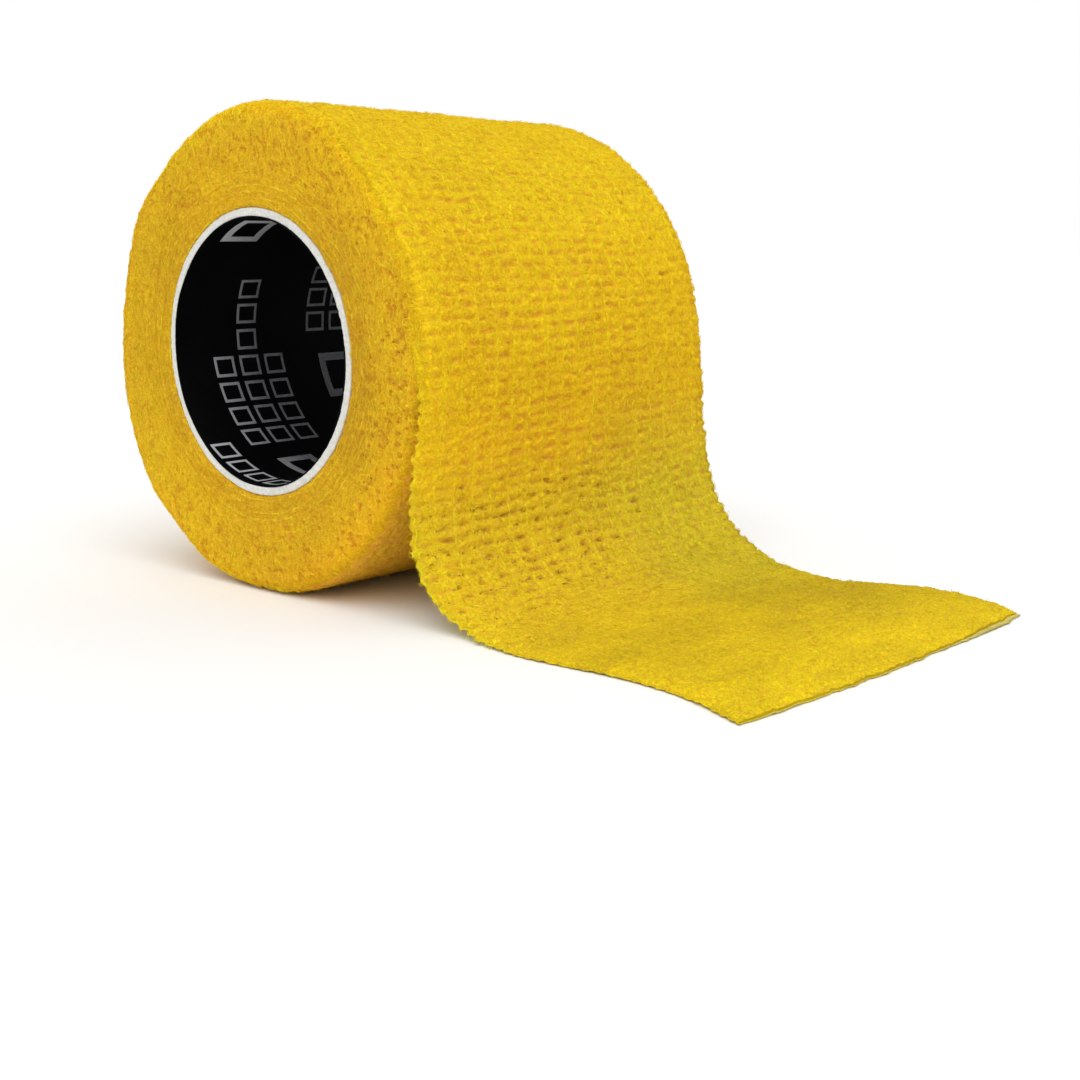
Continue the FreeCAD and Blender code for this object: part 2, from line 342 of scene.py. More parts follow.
YELLOW = (0.97, 0.640, 0.010)
ORANGE = (0.85, 0.372, 0.036)
HOLE = (0.33, 0.150, 0.011)
LIGHT = (1.0, 0.80, 0.016)
MAT_FACE = tape_material("tape_face", YELLOW, ORANGE, HOLE, LIGHT, lines=(0.016, 0.036))
# the stacked edges of the turns: a darker, more orange copy of the tape colour, partly their own colour and partly
# painted shade between the edges
MAT_SIDE = tape_material("tape_layers", (0.90, 0.545, 0.016), (0.73, 0.295, 0.026), HOLE, (1.0, 0.77, 0.025), 1.0, 0.8, lines=(0.05, 0.12))
MAT_BACK = tape_material("tape_back", (0.88, 0.66, 0.07), (0.72, 0.42, 0.05), HOLE, (0.96, 0.83, 0.28))

MAT_CUT = tape_material("tape_cut_end", (0.76, 0.60, 0.15), (0.68, 0.46, 0.08), HOLE, (0.88, 0.76, 0.30))

# ------------------------------------------------------------------ the tape's rails
# th runs clockwise seen from -Y from 3 o'clock: 90 is under the roll, 180 the
# far left, 270 the top, 360 where the tape leaves.
TH = [0, 20, 40, 60, 75, 84, 90, 96, 103, 110, 115, 121, 130, 135, 140, 145, 150, 155, 160, 170,
      180, 190, 200, 205, 210, 215, 220, 225, 230, 240, 250, 260, 270, 280, 290, 300, 308, 319, 335, 350, 358.5]
R_NEAR = [28.25, 28.3, 28.4, 28.6, 29.0, 29.25, 29.10, 29.25, 29.6, 29.75, 29.85, 29.65, 29.5, 29.8, 30.15, 30.0, 29.8, 29.6, 29.35, 28.95,
          28.5, 28.25, 28.2, 28.35, 28.6, 28.9, 28.9, 28.55, 28.35, 28.45, 28.75, 29.05, 29.2, 29.25, 29.3, 29.35, 28.95, 28.6, 28.75, 28.95, 29.0]
R_FAR = [28.25, 28.3, 28.45, 28.7, 29.1, 29.25, 29.10, 29.25, 29.4, 29.4, 29.5, 29.6, 29.6, 29.4, 29.2, 29.2, 29.3, 29.2, 29.0, 28.8,
         28.8, 29.0, 29.1, 29.0, 28.8, 28.7, 28.8, 28.9, 28.9, 28.7, 28.6, 28.7, 28.8, 28.85, 28.9, 28.95, 28.95, 28.9, 28.95, 29.05, 29.15]

# the face surface of the loose end's two edges, (x, y, z)
NEAR_TAIL = [(29.0, -HALF_W, 0.0), (28.55, -HALF_W, -5.0), (27.7, -HALF_W, -9.8), (26.9, -HALF_W, -14.5), (26.7, -HALF_W, -18.4),
             (27.1, -HALF_W, -21.2), (28.3, -HALF_W, -23.7), (30.1, -HALF_W, -25.5), (32.5, -HALF_W, -26.9), (35.6, -25.6, -27.9),
             (39.5, -26.4, -28.3), (44.0, -26.9, -28.35), (49.0, -26.6, -28.3), (54.0, -26.1, -28.3), (59.0, -26.2, -28.35),
             (63.5, -26.7, -28.35), (67.0, -27.7, -28.35), (70.4, -29.2, -28.35), (73.4, -30.4, -28.35)]
FAR_TAIL = [(29.15, HALF_W, 0.0), (29.25, HALF_W, -5.0), (29.35, HALF_W, -9.0), (29.7, HALF_W, -12.6), (30.2, HALF_W, -15.6),
            (31.2, HALF_W, -18.2), (32.5, HALF_W, -20.8), (34.2, HALF_W, -23.1), (36.8, HALF_W, -25.2), (40.2, HALF_W, -26.9),
            (44.2, HALF_W, -27.9), (49.0, 25.4, -28.35), (53.5, 25.6, -28.3), (58.0, 26.1, -28.0), (62.0, 26.4, -27.7),
            (66.0, 26.4, -27.7), (69.5, 26.0, -27.9), (72.0, 25.5, -28.15), (74.2, 24.9, -28.35)]


def radius(th, v):
    """Outer surface of the outermost turn: th in degrees, v from -1 (near face) to 1."""
    near = smooth_table(TH, R_NEAR, th, 2.2)
    far = smooth_table(TH, R_FAR, th, 2.2)
    w = step(-1.0, 1.0, v)
    return near * (1 - w) + far * w


def polar(th, r, y):
    a = np.radians(th)
    return np.stack([r * np.cos(a), np.broadcast_to(y, np.shape(a)), -r * np.sin(a)], -1)


def resample(points, n_fine=1200):
    """A smooth curve through points, evenly spaced along its length."""
    p = np.asarray(points, float)
    d = np.concatenate([[0], np.cumsum(np.linalg.norm(np.diff(p, axis=0), axis=1))])
    t = np.linspace(0, d[-1], n_fine)
    q = np.stack([np.interp(t, d, p[:, k]) for k in range(3)], -1)
    k = np.arange(-60, 61)
    sig = 2.0 / (t[1] - t[0])
    w = np.exp(-0.5 * (k / sig) ** 2)
    w /= w.sum()
    pad_a = q[0] + (q[0] - q[1:61][::-1])
    pad_b = q[-1] + (q[-1] - q[-61:-1][::-1])
    full = np.concatenate([pad_a, q, pad_b])
    q = np.stack([np.convolve(full[:, c], w, mode="valid") for c in range(3)], -1)
    d = np.concatenate([[0], np.cumsum(np.linalg.norm(np.diff(q, axis=0), axis=1))])
    return q, d


STEP = 0.18
TH_SPLIT = 345.0
th_roll = np.arange(0.0, TH_SPLIT, math.degrees(0.12 / 29.0))


def rail(side):
    """One edge of the tape from the start of the outermost turn to the cut end, as (points on the roll, points of the
    loose end, distance along the loose end).
    """
    v = -1.0 if side == "near" else 1.0
    y = v * HALF_W
    roll = polar(th_roll, radius(th_roll, np.full_like(th_roll, v)), y)
    tail = NEAR_TAIL if side == "near" else FAR_TAIL
    th_pre = np.array([TH_SPLIT, 349.0, 353.0, 356.5])
    pre = polar(th_pre, radius(th_pre, np.full_like(th_pre, v)), y)
    loose, d = resample(np.concatenate([pre, np.asarray(tail)]))
    return roll, loose, d


near_roll, near_loose, near_d = rail("near")
far_roll, far_loose, far_d = rail("far")
# distance along the tape at mid width
mid_roll = 0.5 * (near_roll + far_roll)
mid_roll_d = np.concatenate([[0], np.cumsum(np.linalg.norm(np.diff(mid_roll, axis=0), axis=1))])
S_SPLIT = mid_roll_d[-1] + 0.12
LOOSE_LEN = 0.5 * (near_d[-1] + far_d[-1])
S_END = S_SPLIT + LOOSE_LEN


def rails_at(s):
    """Both edges' points at distance s (array) along the tape."""
    out = []
    for roll, loose, d in ((near_roll, near_loose, near_d), (far_roll, far_loose, far_d)):
        f = np.clip((s - S_SPLIT) / LOOSE_LEN, 0, 1) * d[-1]
        on_loose = np.stack([np.interp(f, d, loose[:, k]) for k in range(3)], -1)
        on_roll = np.stack([np.interp(s, mid_roll_d, roll[:, k]) for k in range(3)], -1)
        # join the two without a step
        out.append(np.where((s < S_SPLIT)[:, None], on_roll, on_loose))
    near, far = out
    k = np.arange(-9, 10)
    w = np.exp(-0.5 * (k / 4.0) ** 2)
    w /= w.sum()
    res = []
    for p in (near, far):
        a = p[0] + (p[0] - p[1:10][::-1])
        b = p[-1] + (p[-1] - p[-10:-1][::-1])
        q = np.concatenate([a, p, b])
        res.append(np.stack([np.convolve(q[:, c], w, mode="valid") for c in range(3)], -1))
    return res


S_ALL = np.arange(0.0, S_END, STEP)
S_ALL = S_ALL * (S_END / S_ALL[-1])
COLS = 281
V = np.linspace(-1.0, 1.0, COLS)
near_p, far_p = rails_at(S_ALL)
TH_ALL = np.interp(S_ALL, mid_roll_d, th_roll)        # only means something on the roll

W = (V + 1) / 2
BASE = near_p[:, None, :] * (1 - W)[None, :, None] + far_p[:, None, :] * W[None, :, None]
S2 = np.repeat(S_ALL[:, None], COLS, 1)
Y2 = np.repeat((V * HALF_W)[None, :], len(S_ALL), 0)
on_tail = step(S_SPLIT + 2, S_SPLIT + 14, S2)           # 0 on the roll, 1 on the loose end
X_AT = BASE[:, :, 0]
Z_AT = BASE[:, :, 2]
on_floor = step(33.0, 46.0, X_AT) * on_tail


def normals_of(p):
    ds = np.gradient(p, axis=0)
    dv = np.gradient(p, axis=1)
    n = np.cross(dv, ds)
    n /= np.maximum(np.linalg.norm(n, axis=2, keepdims=True), 1e-12)
    return n


NRM = normals_of(BASE)
probe = NRM[len(S_ALL) // 3, COLS // 2]
centre = BASE[len(S_ALL) // 3, COLS // 2]
if (probe * np.array([centre[0], 0, centre[2]])).sum() < 0:
    NRM = -NRM

# ------------------------------------------------------------------ the tape's relief
PITCH = 1.43                     # creped ridges along the tape
THREAD_PITCH = 2.82
warp = 0.42 * fbm(S2 / 15.0, Y2 / 12.0, 11) + 0.20 * fbm(S2 / 4.0, Y2 / 3.4, 15, 2) + 0.09 * fbm(S2 / 1.4, Y2 / 1.1, 17, 2)
phase = 2 * np.pi * (S2 / PITCH + warp)
trough = 0.5 - 0.5 * np.cos(phase)                     # 1 in a valley, 0 on a ridge
valley = trough ** 2.6
ridge = 1.0 - trough ** 1.6
row_id = np.floor(phase / (2 * np.pi)).astype(int)     # one number per valley
cell = (Y2 / THREAD_PITCH) + 0.07 * fbm(S2 / 5.0, Y2 / 4.0, 21, 2) + 0.04 * fbm(S2 / 1.2, Y2 / 1.2, 23, 2)
cell_id = np.floor(cell).astype(int)
cell_f = cell - cell_id                                # 0 and 1 at threads
thread_d = np.minimum(cell_f, 1 - cell_f) * THREAD_PITCH
thread_line = np.exp(-(thread_d / 0.15) ** 2)
cinch = np.exp(-(thread_d / 0.45) ** 2)
_tab = np.random.RandomState(31).rand(4, 4096, 64)


def cell_rand(k):
    return _tab[k, row_id % 4096, cell_id % 64]


# the pits: where the pit attribute is high the surface is painted orange as shade in the hollows
pit_yc = 0.5 + 0.30 * (cell_rand(1) - 0.5)
pit_w = 0.20 + 0.34 * cell_rand(2) ** 1.4
pit_shape = np.exp(-(np.abs(cell_f - pit_yc) / pit_w) ** 3.0)
pit_amp = 0.25 + 0.75 * cell_rand(0)

# where the pits show: down the front of the roll and on the drop, most at mid width
front = step(S_SPLIT - 34, S_SPLIT - 12, S2) * (1 - step(38.0, 47.0, X_AT) * on_tail)
centre_w = 0.35 + 0.65 * np.exp(-((Y2 + 3.0) / 14.0) ** 2)
drop_low = on_tail * step(-10.5, -18.5, Z_AT) * (1 - step(33.0, 42.0, X_AT))
patch = 0.5 + 0.5 * fbm(S2 / 9.0, Y2 / 7.0, 41, 2)
behind = (1 - on_tail) * (step(20, 60, TH_ALL) * (1 - step(228, 258, TH_ALL)))[:, None]
pit_mask = 0.20 + front * (0.75 * centre_w) * (1 - 0.20 * on_tail) + 0.38 * behind
pit_mask = np.clip(pit_mask * (1 - 0.85 * on_floor) * (0.55 + 0.9 * patch), 0, 1.15)
crisp = 0.5 + 0.9 * fbm(S2 / 0.55, Y2 / 0.8, 45, 2)
pit = np.clip(valley * pit_shape * pit_amp * pit_mask * np.clip(0.45 + 1.1 * crisp, 0.15, 1.6), 0, 1)

# small holes low on the drop, most on the near half; their dark brown is painted shade inside them
hole_chance = drop_low * step(16, -12, Y2) * 0.42 + 0.004 * front
hole = (cell_rand(3) < hole_chance) * np.exp(-(np.abs(cell_f - pit_yc) / (0.10 + 0.12 * cell_rand(2))) ** 2.4) * trough ** 2.5
hole = np.clip(hole * (0.10 + 0.65 * crisp + 0.55 * (cell_rand(0) - 0.25)), 0, 0.95)
# painted shade as well in the smaller crevices round the holes, and below in the lowest pits
hole = np.maximum(hole, 0.12 * np.clip(drop_low * step(22, -6, Y2) * (0.35 + 0.9 * patch) * (0.25 + trough), 0, 1))      # and smaller crevices round them
lowest = drop_low * step(22, -8, Y2)
hole = np.maximum(hole, 0.72 * np.clip(pit, 0, 1) ** 1.3 * lowest * np.clip(0.2 + 1.3 * cell_rand(3), 0, 1.3))
pit = pit * (1 - 0.28 * lowest)

ridge_amp = 0.16 * (0.45 + 0.55 * front + 0.40 * behind) * (1 - 0.18 * on_tail - 0.12 * on_tail * (1 - drop_low)) * (1 - 0.55 * on_floor)
felt = fbm(S2 / 0.75, Y2 / 0.95, 51, 2)
felt2 = np.abs(fbm(S2 / 1.5, Y2 / 1.5, 61, 3))
loops = 1 - np.abs(fbm(S2 / 0.62, Y2 / 0.80, 65, 2)) * 2.2
lump = fbm(S2 / 7.5, Y2 / 8.5, 71, 3)
HEIGHT = (ridge_amp * (ridge - 0.5) * (1 - 0.35 * cinch)
          - 0.06 * cinch * ridge
          - 0.15 * pit - 0.30 * hole
          + 0.10 * felt - 0.12 * felt2 + 0.11 * np.clip(loops, -0.6, 1) + 0.16 * lump
          + 0.10 * thread_line * trough * (1 - 0.6 * on_floor))

# the edges: scalloped by the creping, rounded over on the roll
edge_d = HALF_W - np.abs(Y2)
fuzzy = 1 - 0.8 * step(35.0, 44.0, X_AT) * on_tail
scallop = ((0.06 + 0.13 * on_tail) * np.cos(phase) + (0.16 + 0.12 * on_tail) * fbm(S2 / 0.8, np.sign(Y2) * 3.3, 81, 2)
           + 0.14 * fbm(S2 / 6.0, np.sign(Y2) * 7.7, 85, 2)) * fuzzy
RHO = 1.70


def rim_curl(d):
    """How far the roll's rim is rounded down, d in from the edge."""
    k = np.clip(RHO - d, 0, RHO)
    return RHO - np.sqrt(np.maximum(RHO * RHO - k * k, 0.0)) + 0.10 * np.clip(1 - d / 4.0, 0, 1) ** 2


CURL = rim_curl(edge_d) * (1 - on_tail) + 0.18 * on_tail * np.clip(1 - edge_d / 3.0, 0, 1) ** 2

TOP = BASE + NRM * (HEIGHT - CURL)[..., None]
# slide the outer columns sideways with the scallops
side_dir = far_p - near_p
side_dir /= np.linalg.norm(side_dir, axis=1, keepdims=True)
near_edge = np.clip(1 - edge_d / 3.0, 0, 1)
TOP += side_dir[:, None, :] * (np.sign(Y2) * (scallop * (0.35 + 0.65 * on_tail) - 0.12 - 0.14 * (1 - on_tail)) * near_edge)[..., None]
# the cut end bows a little and is ragged
end_w = step(S_END - 7.0, S_END, S2)
TOP[..., 0] += end_w * (1.3 * (1 - (Y2 / HALF_W) ** 2) + 0.25 * fbm(Y2 / 2.3, Y2 * 0 + 2.2, 91, 2))
last = step(S_END - 1.3, S_END, S2)
TOP[..., 0] += last * 0.20 * fbm(Y2 / 0.5, Y2 * 0 + 5.2, 95, 2)
TOP[..., 2] -= last ** 2 * (0.34 + 0.10 * fbm(Y2 / 0.7, Y2 * 0 + 8.2, 97, 2))

back_relief = 0.55 * HEIGHT + 0.05 * fbm(S2 / 0.8, Y2 / 0.8, 101, 2)
thick_map = THICK - 0.02 + 0.05 * fbm(S2 / 3.0, Y2 / 3.0, 105, 2)
thin_edge = 0.22 * np.clip(1 - edge_d / 0.9, 0, 1)
BACKS = TOP - NRM * (thick_map - thin_edge - 0.32 * last ** 2 + (HEIGHT - back_relief))[..., None]
TOP -= NRM * (thin_edge * 0.5)[..., None]

# nothing goes under the surface that it stands on
TOP[..., 2] = np.maximum(TOP[..., 2], FLOOR + 0.25 + 0.1 * ridge)
BACKS[..., 2] = np.maximum(BACKS[..., 2], FLOOR + 0.01)

# colour by region: (r, g, b) multipliers that paint light and shade onto the one tape colour
one = np.ones_like(S2)
low_drop = on_tail * step(-2, -12, Z_AT) * (1 - step(40.0, 52.0, X_AT))
low_right = low_drop * step(-2, 16, Y2)
under = (1 - on_tail) * step(5, 30, TH_ALL)[:, None] * (1 - step(120, 160, TH_ALL)[:, None])
rim_zone = np.clip(1 - edge_d / 4.5, 0, 1) * (1 - on_tail)
tip_zone = on_tail * step(58.0, 70.0, X_AT)
low_left = low_drop * step(4, -18, Y2)
bend_zone = on_tail * step(-9, -19, Z_AT) * (1 - on_floor)
mott = fbm(S2 / 4.5, Y2 / 8.0, 141, 3) * (0.5 + 1.1 * on_floor)
top_zone = (1 - on_tail) * (step(232, 262, TH_ALL) * (1 - step(318, 345, TH_ALL)))[:, None]
front_roll = front * (1 - on_tail) * step(-20, -6, Y2)
far_floor = on_floor * step(-2, 16, Y2) * (1 - step(66, 73, X_AT))
by_floor = (1 - on_tail) * step(2, 15, TH_ALL)[:, None] * (1 - step(62, 92, TH_ALL)[:, None])
near_band = np.clip(1 - (Y2 + HALF_W) / 5.5, 0, 1)
bright_edge = (on_tail * (1 - on_floor) + 0.9 * (1 - on_tail) * step(S_SPLIT - 24, S_SPLIT - 8, S2)) * near_band
floor_edge = on_floor * near_band * (1 - step(66.0, 72.0, X_AT))
rim_right = (1 - on_tail) * near_band * (step(266, 290, TH_ALL))[:, None]
# bend_zone makes the low part of the drop greener, front_roll makes the front of the roll a little greener, and mott is
# random mottling
# painted light: by_floor lightens and warms the shadowed gap under the roll beside the loose end; bright_edge,
# floor_edge and rim_right lighten the near edge; low_left lightens the drop's left; tip_zone lightens the tip; top_zone
# makes the roll's top yellower
# painted shade: under darkens the roll's underside towards orange; low_right darkens the drop's lower right; on_floor
# and far_floor darken the run lying on the floor; rim_zone darkens the rounded rim a little
SHADE = np.stack([one + 0.12 * by_floor + 0.06 * bright_edge + 0.09 * floor_edge + 0.01 * rim_right - 0.065 * low_right - 0.05 * far_floor + 0.07 * low_left - 0.11 * bend_zone - 0.03 * under - 0.01 * rim_zone - 0.175 * on_floor + 0.135 * tip_zone + 0.075 * mott,
                  one + 0.05 * by_floor + 0.12 * bright_edge + 0.09 * floor_edge + 0.02 * rim_right + 0.010 * low_right - 0.05 * far_floor + 0.03 * front_roll + 0.06 * low_left - 0.02 * bend_zone - 0.13 * under - 0.02 * rim_zone + 0.055 * top_zone - 0.095 * on_floor + 0.155 * tip_zone + 0.085 * mott,
                  one + 1.3 * by_floor + 0.25 * low_drop + 0.3 * low_right + 0.2 * bend_zone], -1)

# ------------------------------------------------------------------ strips
SHEETS = []


def strip(name, i0, i1, stride=1, coarse_back=4):
    """One length of the tape, a closed mesh: face grid, edge, back grid, end caps."""
    rows = list(range(i0, i1, stride))
    if rows[-1] != i1:
        rows.append(i1)
    rows = np.array(rows)
    n = len(rows)
    back_cols = np.arange(0, COLS, coarse_back)
    nb = len(back_cols)
    top = TOP[rows]
    back = BACKS[rows][:, back_cols]
    # two extra points round each edge
    def edge_pts(j):
        t, b = TOP[rows, j], BACKS[rows, j]
        out = (side_dir[rows] * (1 if j else -1))
        bulge = 0.16 + 0.05 * fbm(S_ALL[rows] / 0.9, np.full(n, 5.5 * (1 + j)), 121, 2)
        p1 = t * 0.72 + b * 0.28 + out * bulge[:, None]
        p2 = t * 0.30 + b * 0.70 + out * (bulge * 0.9)[:, None]
        return p1, p2
    r1, r2 = edge_pts(COLS - 1)
    l1, l2 = edge_pts(0)
    loop = np.concatenate([top, r1[:, None], r2[:, None], back[:, ::-1], l2[:, None], l1[:, None]], 1)
    m = loop.shape[1]
    verts = loop.reshape(-1, 3)
    ii, jj = np.meshgrid(np.arange(n - 1), np.arange(m), indexing="ij")
    a = ii * m + jj
    b = ii * m + (jj + 1) % m
    quads = np.stack([a, b, b + m, a + m], -1).reshape(-1, 4)
    group = np.zeros(len(quads), int)
    faces = [quads]
    t_idx = np.arange(COLS)
    b_idx = COLS + 2 + (nb - 1 - np.arange(nb))        # index in the loop of back column k
    e_r = (COLS, COLS + 1)
    e_l = (m - 1, m - 2)
    mats = [((jj.reshape(-1) >= COLS + 1) & (jj.reshape(-1) < m - 2)).astype(int)]
    n_extra = 0
    for base, flip in ((0, True), ((n - 1) * m, False)):
        cut = base > 0 and i1 == len(S_ALL) - 1
        if not cut:
            cap = np.array([list(t_idx[back_cols[k]:back_cols[k + 1] + 1]) + [b_idx[k + 1], b_idx[k]] for k in range(nb - 1)])
            right = np.array([[t_idx[-1], e_r[0], e_r[1], b_idx[-1]]])
            left = np.array([[e_l[0], t_idx[0], b_idx[0], e_l[1]]])
            parts = [(cap, 0), (right, 0), (left, 0)]
        else:
            # the cut end: the pale lower web shows as a ledge under the yellow one
            tv, bv = verts[base + t_idx[back_cols]], verts[base + b_idx]
            yy = tv[:, 1]
            out_by = 0.04 + 0.05 * fbm(yy / 1.6, yy * 0 + 1.0, 131, 2) + 0.72 * step(4, 18, yy) * (1 - 0.35 * step(22, 25, yy))
            rail_a = tv * 0.40 + bv * 0.60 + np.stack([0.10 + 0 * yy, 0 * yy, 0 * yy], -1)
            rail_b = rail_a + np.stack([out_by, 0 * yy, -0.05 + 0 * yy], -1)
            rail_c = bv + np.stack([out_by * 0.9, 0 * yy, 0.03 + 0 * yy], -1)
            k0 = len(verts) - base
            verts = np.concatenate([verts, rail_a, rail_b, rail_c])
            ia, ib, ic = k0 + np.arange(nb), k0 + nb + np.arange(nb), k0 + 2 * nb + np.arange(nb)
            n_extra = 3 * nb
            cap = np.array([list(t_idx[back_cols[k]:back_cols[k + 1] + 1]) + [ia[k + 1], ia[k]] for k in range(nb - 1)])
            parts = [(cap, 0)]
            far_half = 0.5 * (yy[1:] + yy[:-1]) > 1.0
            for p, qd in ((ia, ib), (ib, ic), (ic, b_idx)):
                ledge = np.stack([p[:-1], p[1:], qd[1:], qd[:-1]], -1)
                parts.append((ledge[far_half], 2))
                parts.append((ledge[~far_half], 1))
            parts.append((np.array([[t_idx[-1], e_r[0], e_r[1], b_idx[-1], ic[-1], ib[-1], ia[-1]]]), 0))
            parts.append((np.array([[e_l[0], t_idx[0], ia[0], ib[0], ic[0], b_idx[0], e_l[1]]]), 0))
        for f, which in parts:
            f = f + base
            if not flip:
                f = f[:, ::-1]
            faces.append(f)
            group = np.concatenate([group, np.full(len(f), 1 + min(which, 1) * (base > 0) * 2)])
            mats.append(np.full(len(f), which))
    # make face normals point out
    tri = verts[quads[:, :3]]
    nrm = np.cross(tri[:, 1] - tri[:, 0], tri[:, 2] - tri[:, 0])
    mid = (jj.reshape(-1) == COLS // 2)
    want = NRM[rows][:-1, COLS // 2]
    if (nrm[mid] * want).sum() < 0:
        faces = [f[:, ::-1] for f in faces]

    def spread(field):
        f = field[rows]
        f = np.concatenate([f, f[:, -1:], f[:, -1:], f[:, back_cols][:, ::-1], f[:, :1], f[:, :1]], 1)
        return np.concatenate([f.reshape(-1), np.tile(field[rows[-1], back_cols], 3)[:n_extra]])

    def per_column(face_v, edge_v, back_v, extra_v):
        f = np.concatenate([np.full((n, COLS), face_v), np.full((n, 2), edge_v), np.full((n, nb), back_v), np.full((n, 2), edge_v)], 1)
        return np.concatenate([f.reshape(-1), np.full(n_extra, extra_v)])

    uvw = np.stack([spread(S2), spread(Y2), per_column(0.0, 0.4, 40.0, 20.0)], -1)
    keep = per_column(1.0, 0.5, 0.35, 0.0)
    attrs = {
        "tape_uv": uvw,
        "pit": np.clip(spread(pit) * 1.5, 0, 1) * keep,
        "hole": spread(hole) * keep,
        "thread": spread((0.35 + 0.65 * trough) * np.clip(front + 0.12 + 0.5 * behind, 0, 1) * (1 - 0.6 * on_floor)) * keep,
        "across": spread(cell),
        "shade": np.stack([spread(SHADE[..., k]) for k in range(3)], -1),
    }
    ob = make_mesh(name, verts, faces, attrs, materials=(MAT_FACE, MAT_BACK, MAT_CUT))
    sharp_between(ob, group)
    ob.data.polygons.foreach_set("material_index", np.concatenate(mats).astype(np.int32))
    return ob


def at_s(s):
    return int(np.argmin(np.abs(S_ALL - s)))


def at_th(th):
    return int(np.argmin(np.abs(TH_ALL - th)))


i_a = 0
i_b = at_th(138.0)
i_c = at_th(276.0)
i_peel = at_th(300.0)
i_d = at_th(330.0)
mid_z = BASE[:, COLS // 2, 2]
tail_i = np.arange(len(S_ALL)) > at_s(S_SPLIT)
i_e = int(np.argmax(tail_i & (mid_z < (ROOT[2] + BEND[2]) / 2)))
i_f = int(np.argmax(tail_i & (BASE[:, COLS // 2, 0] > (BEND[0] + 10 + TIP[0]) / 2)))
i_g = len(S_ALL) - 1
print("strip stations", i_a, i_b, i_c, i_d, i_e, i_f, i_g, "of", len(S_ALL), "length", round(S_END, 1))

outer_lower = strip("outer_turn_lower", i_a, i_b, 2, 8)
outer_upper = strip("outer_turn_upper", i_b, i_c, 2, 8)
peel_part = strip("loose_wrap_strip", i_c, i_d)
root_part = strip("tail_root_strip", i_d, i_e)
bend_part = strip("tail_bend_strip", i_e, i_f)
tip_part = strip("tail_tip_strip", i_f, i_g)


# ------------------------------------------------------------------ the wound pack
# Three closed meshes that ride the roll together: the middle, and the two
# faces made of the turns' edges.
R_CORE = CORE_OUT + 0.03
FACE_DEEP = 2.2


def under_turn(th, v):
    """Outer surface of the pack, just under the outermost turn."""
    return radius(th, v) - 0.80 - 0.02 - rim_curl(HALF_W * (1 - np.abs(v)))


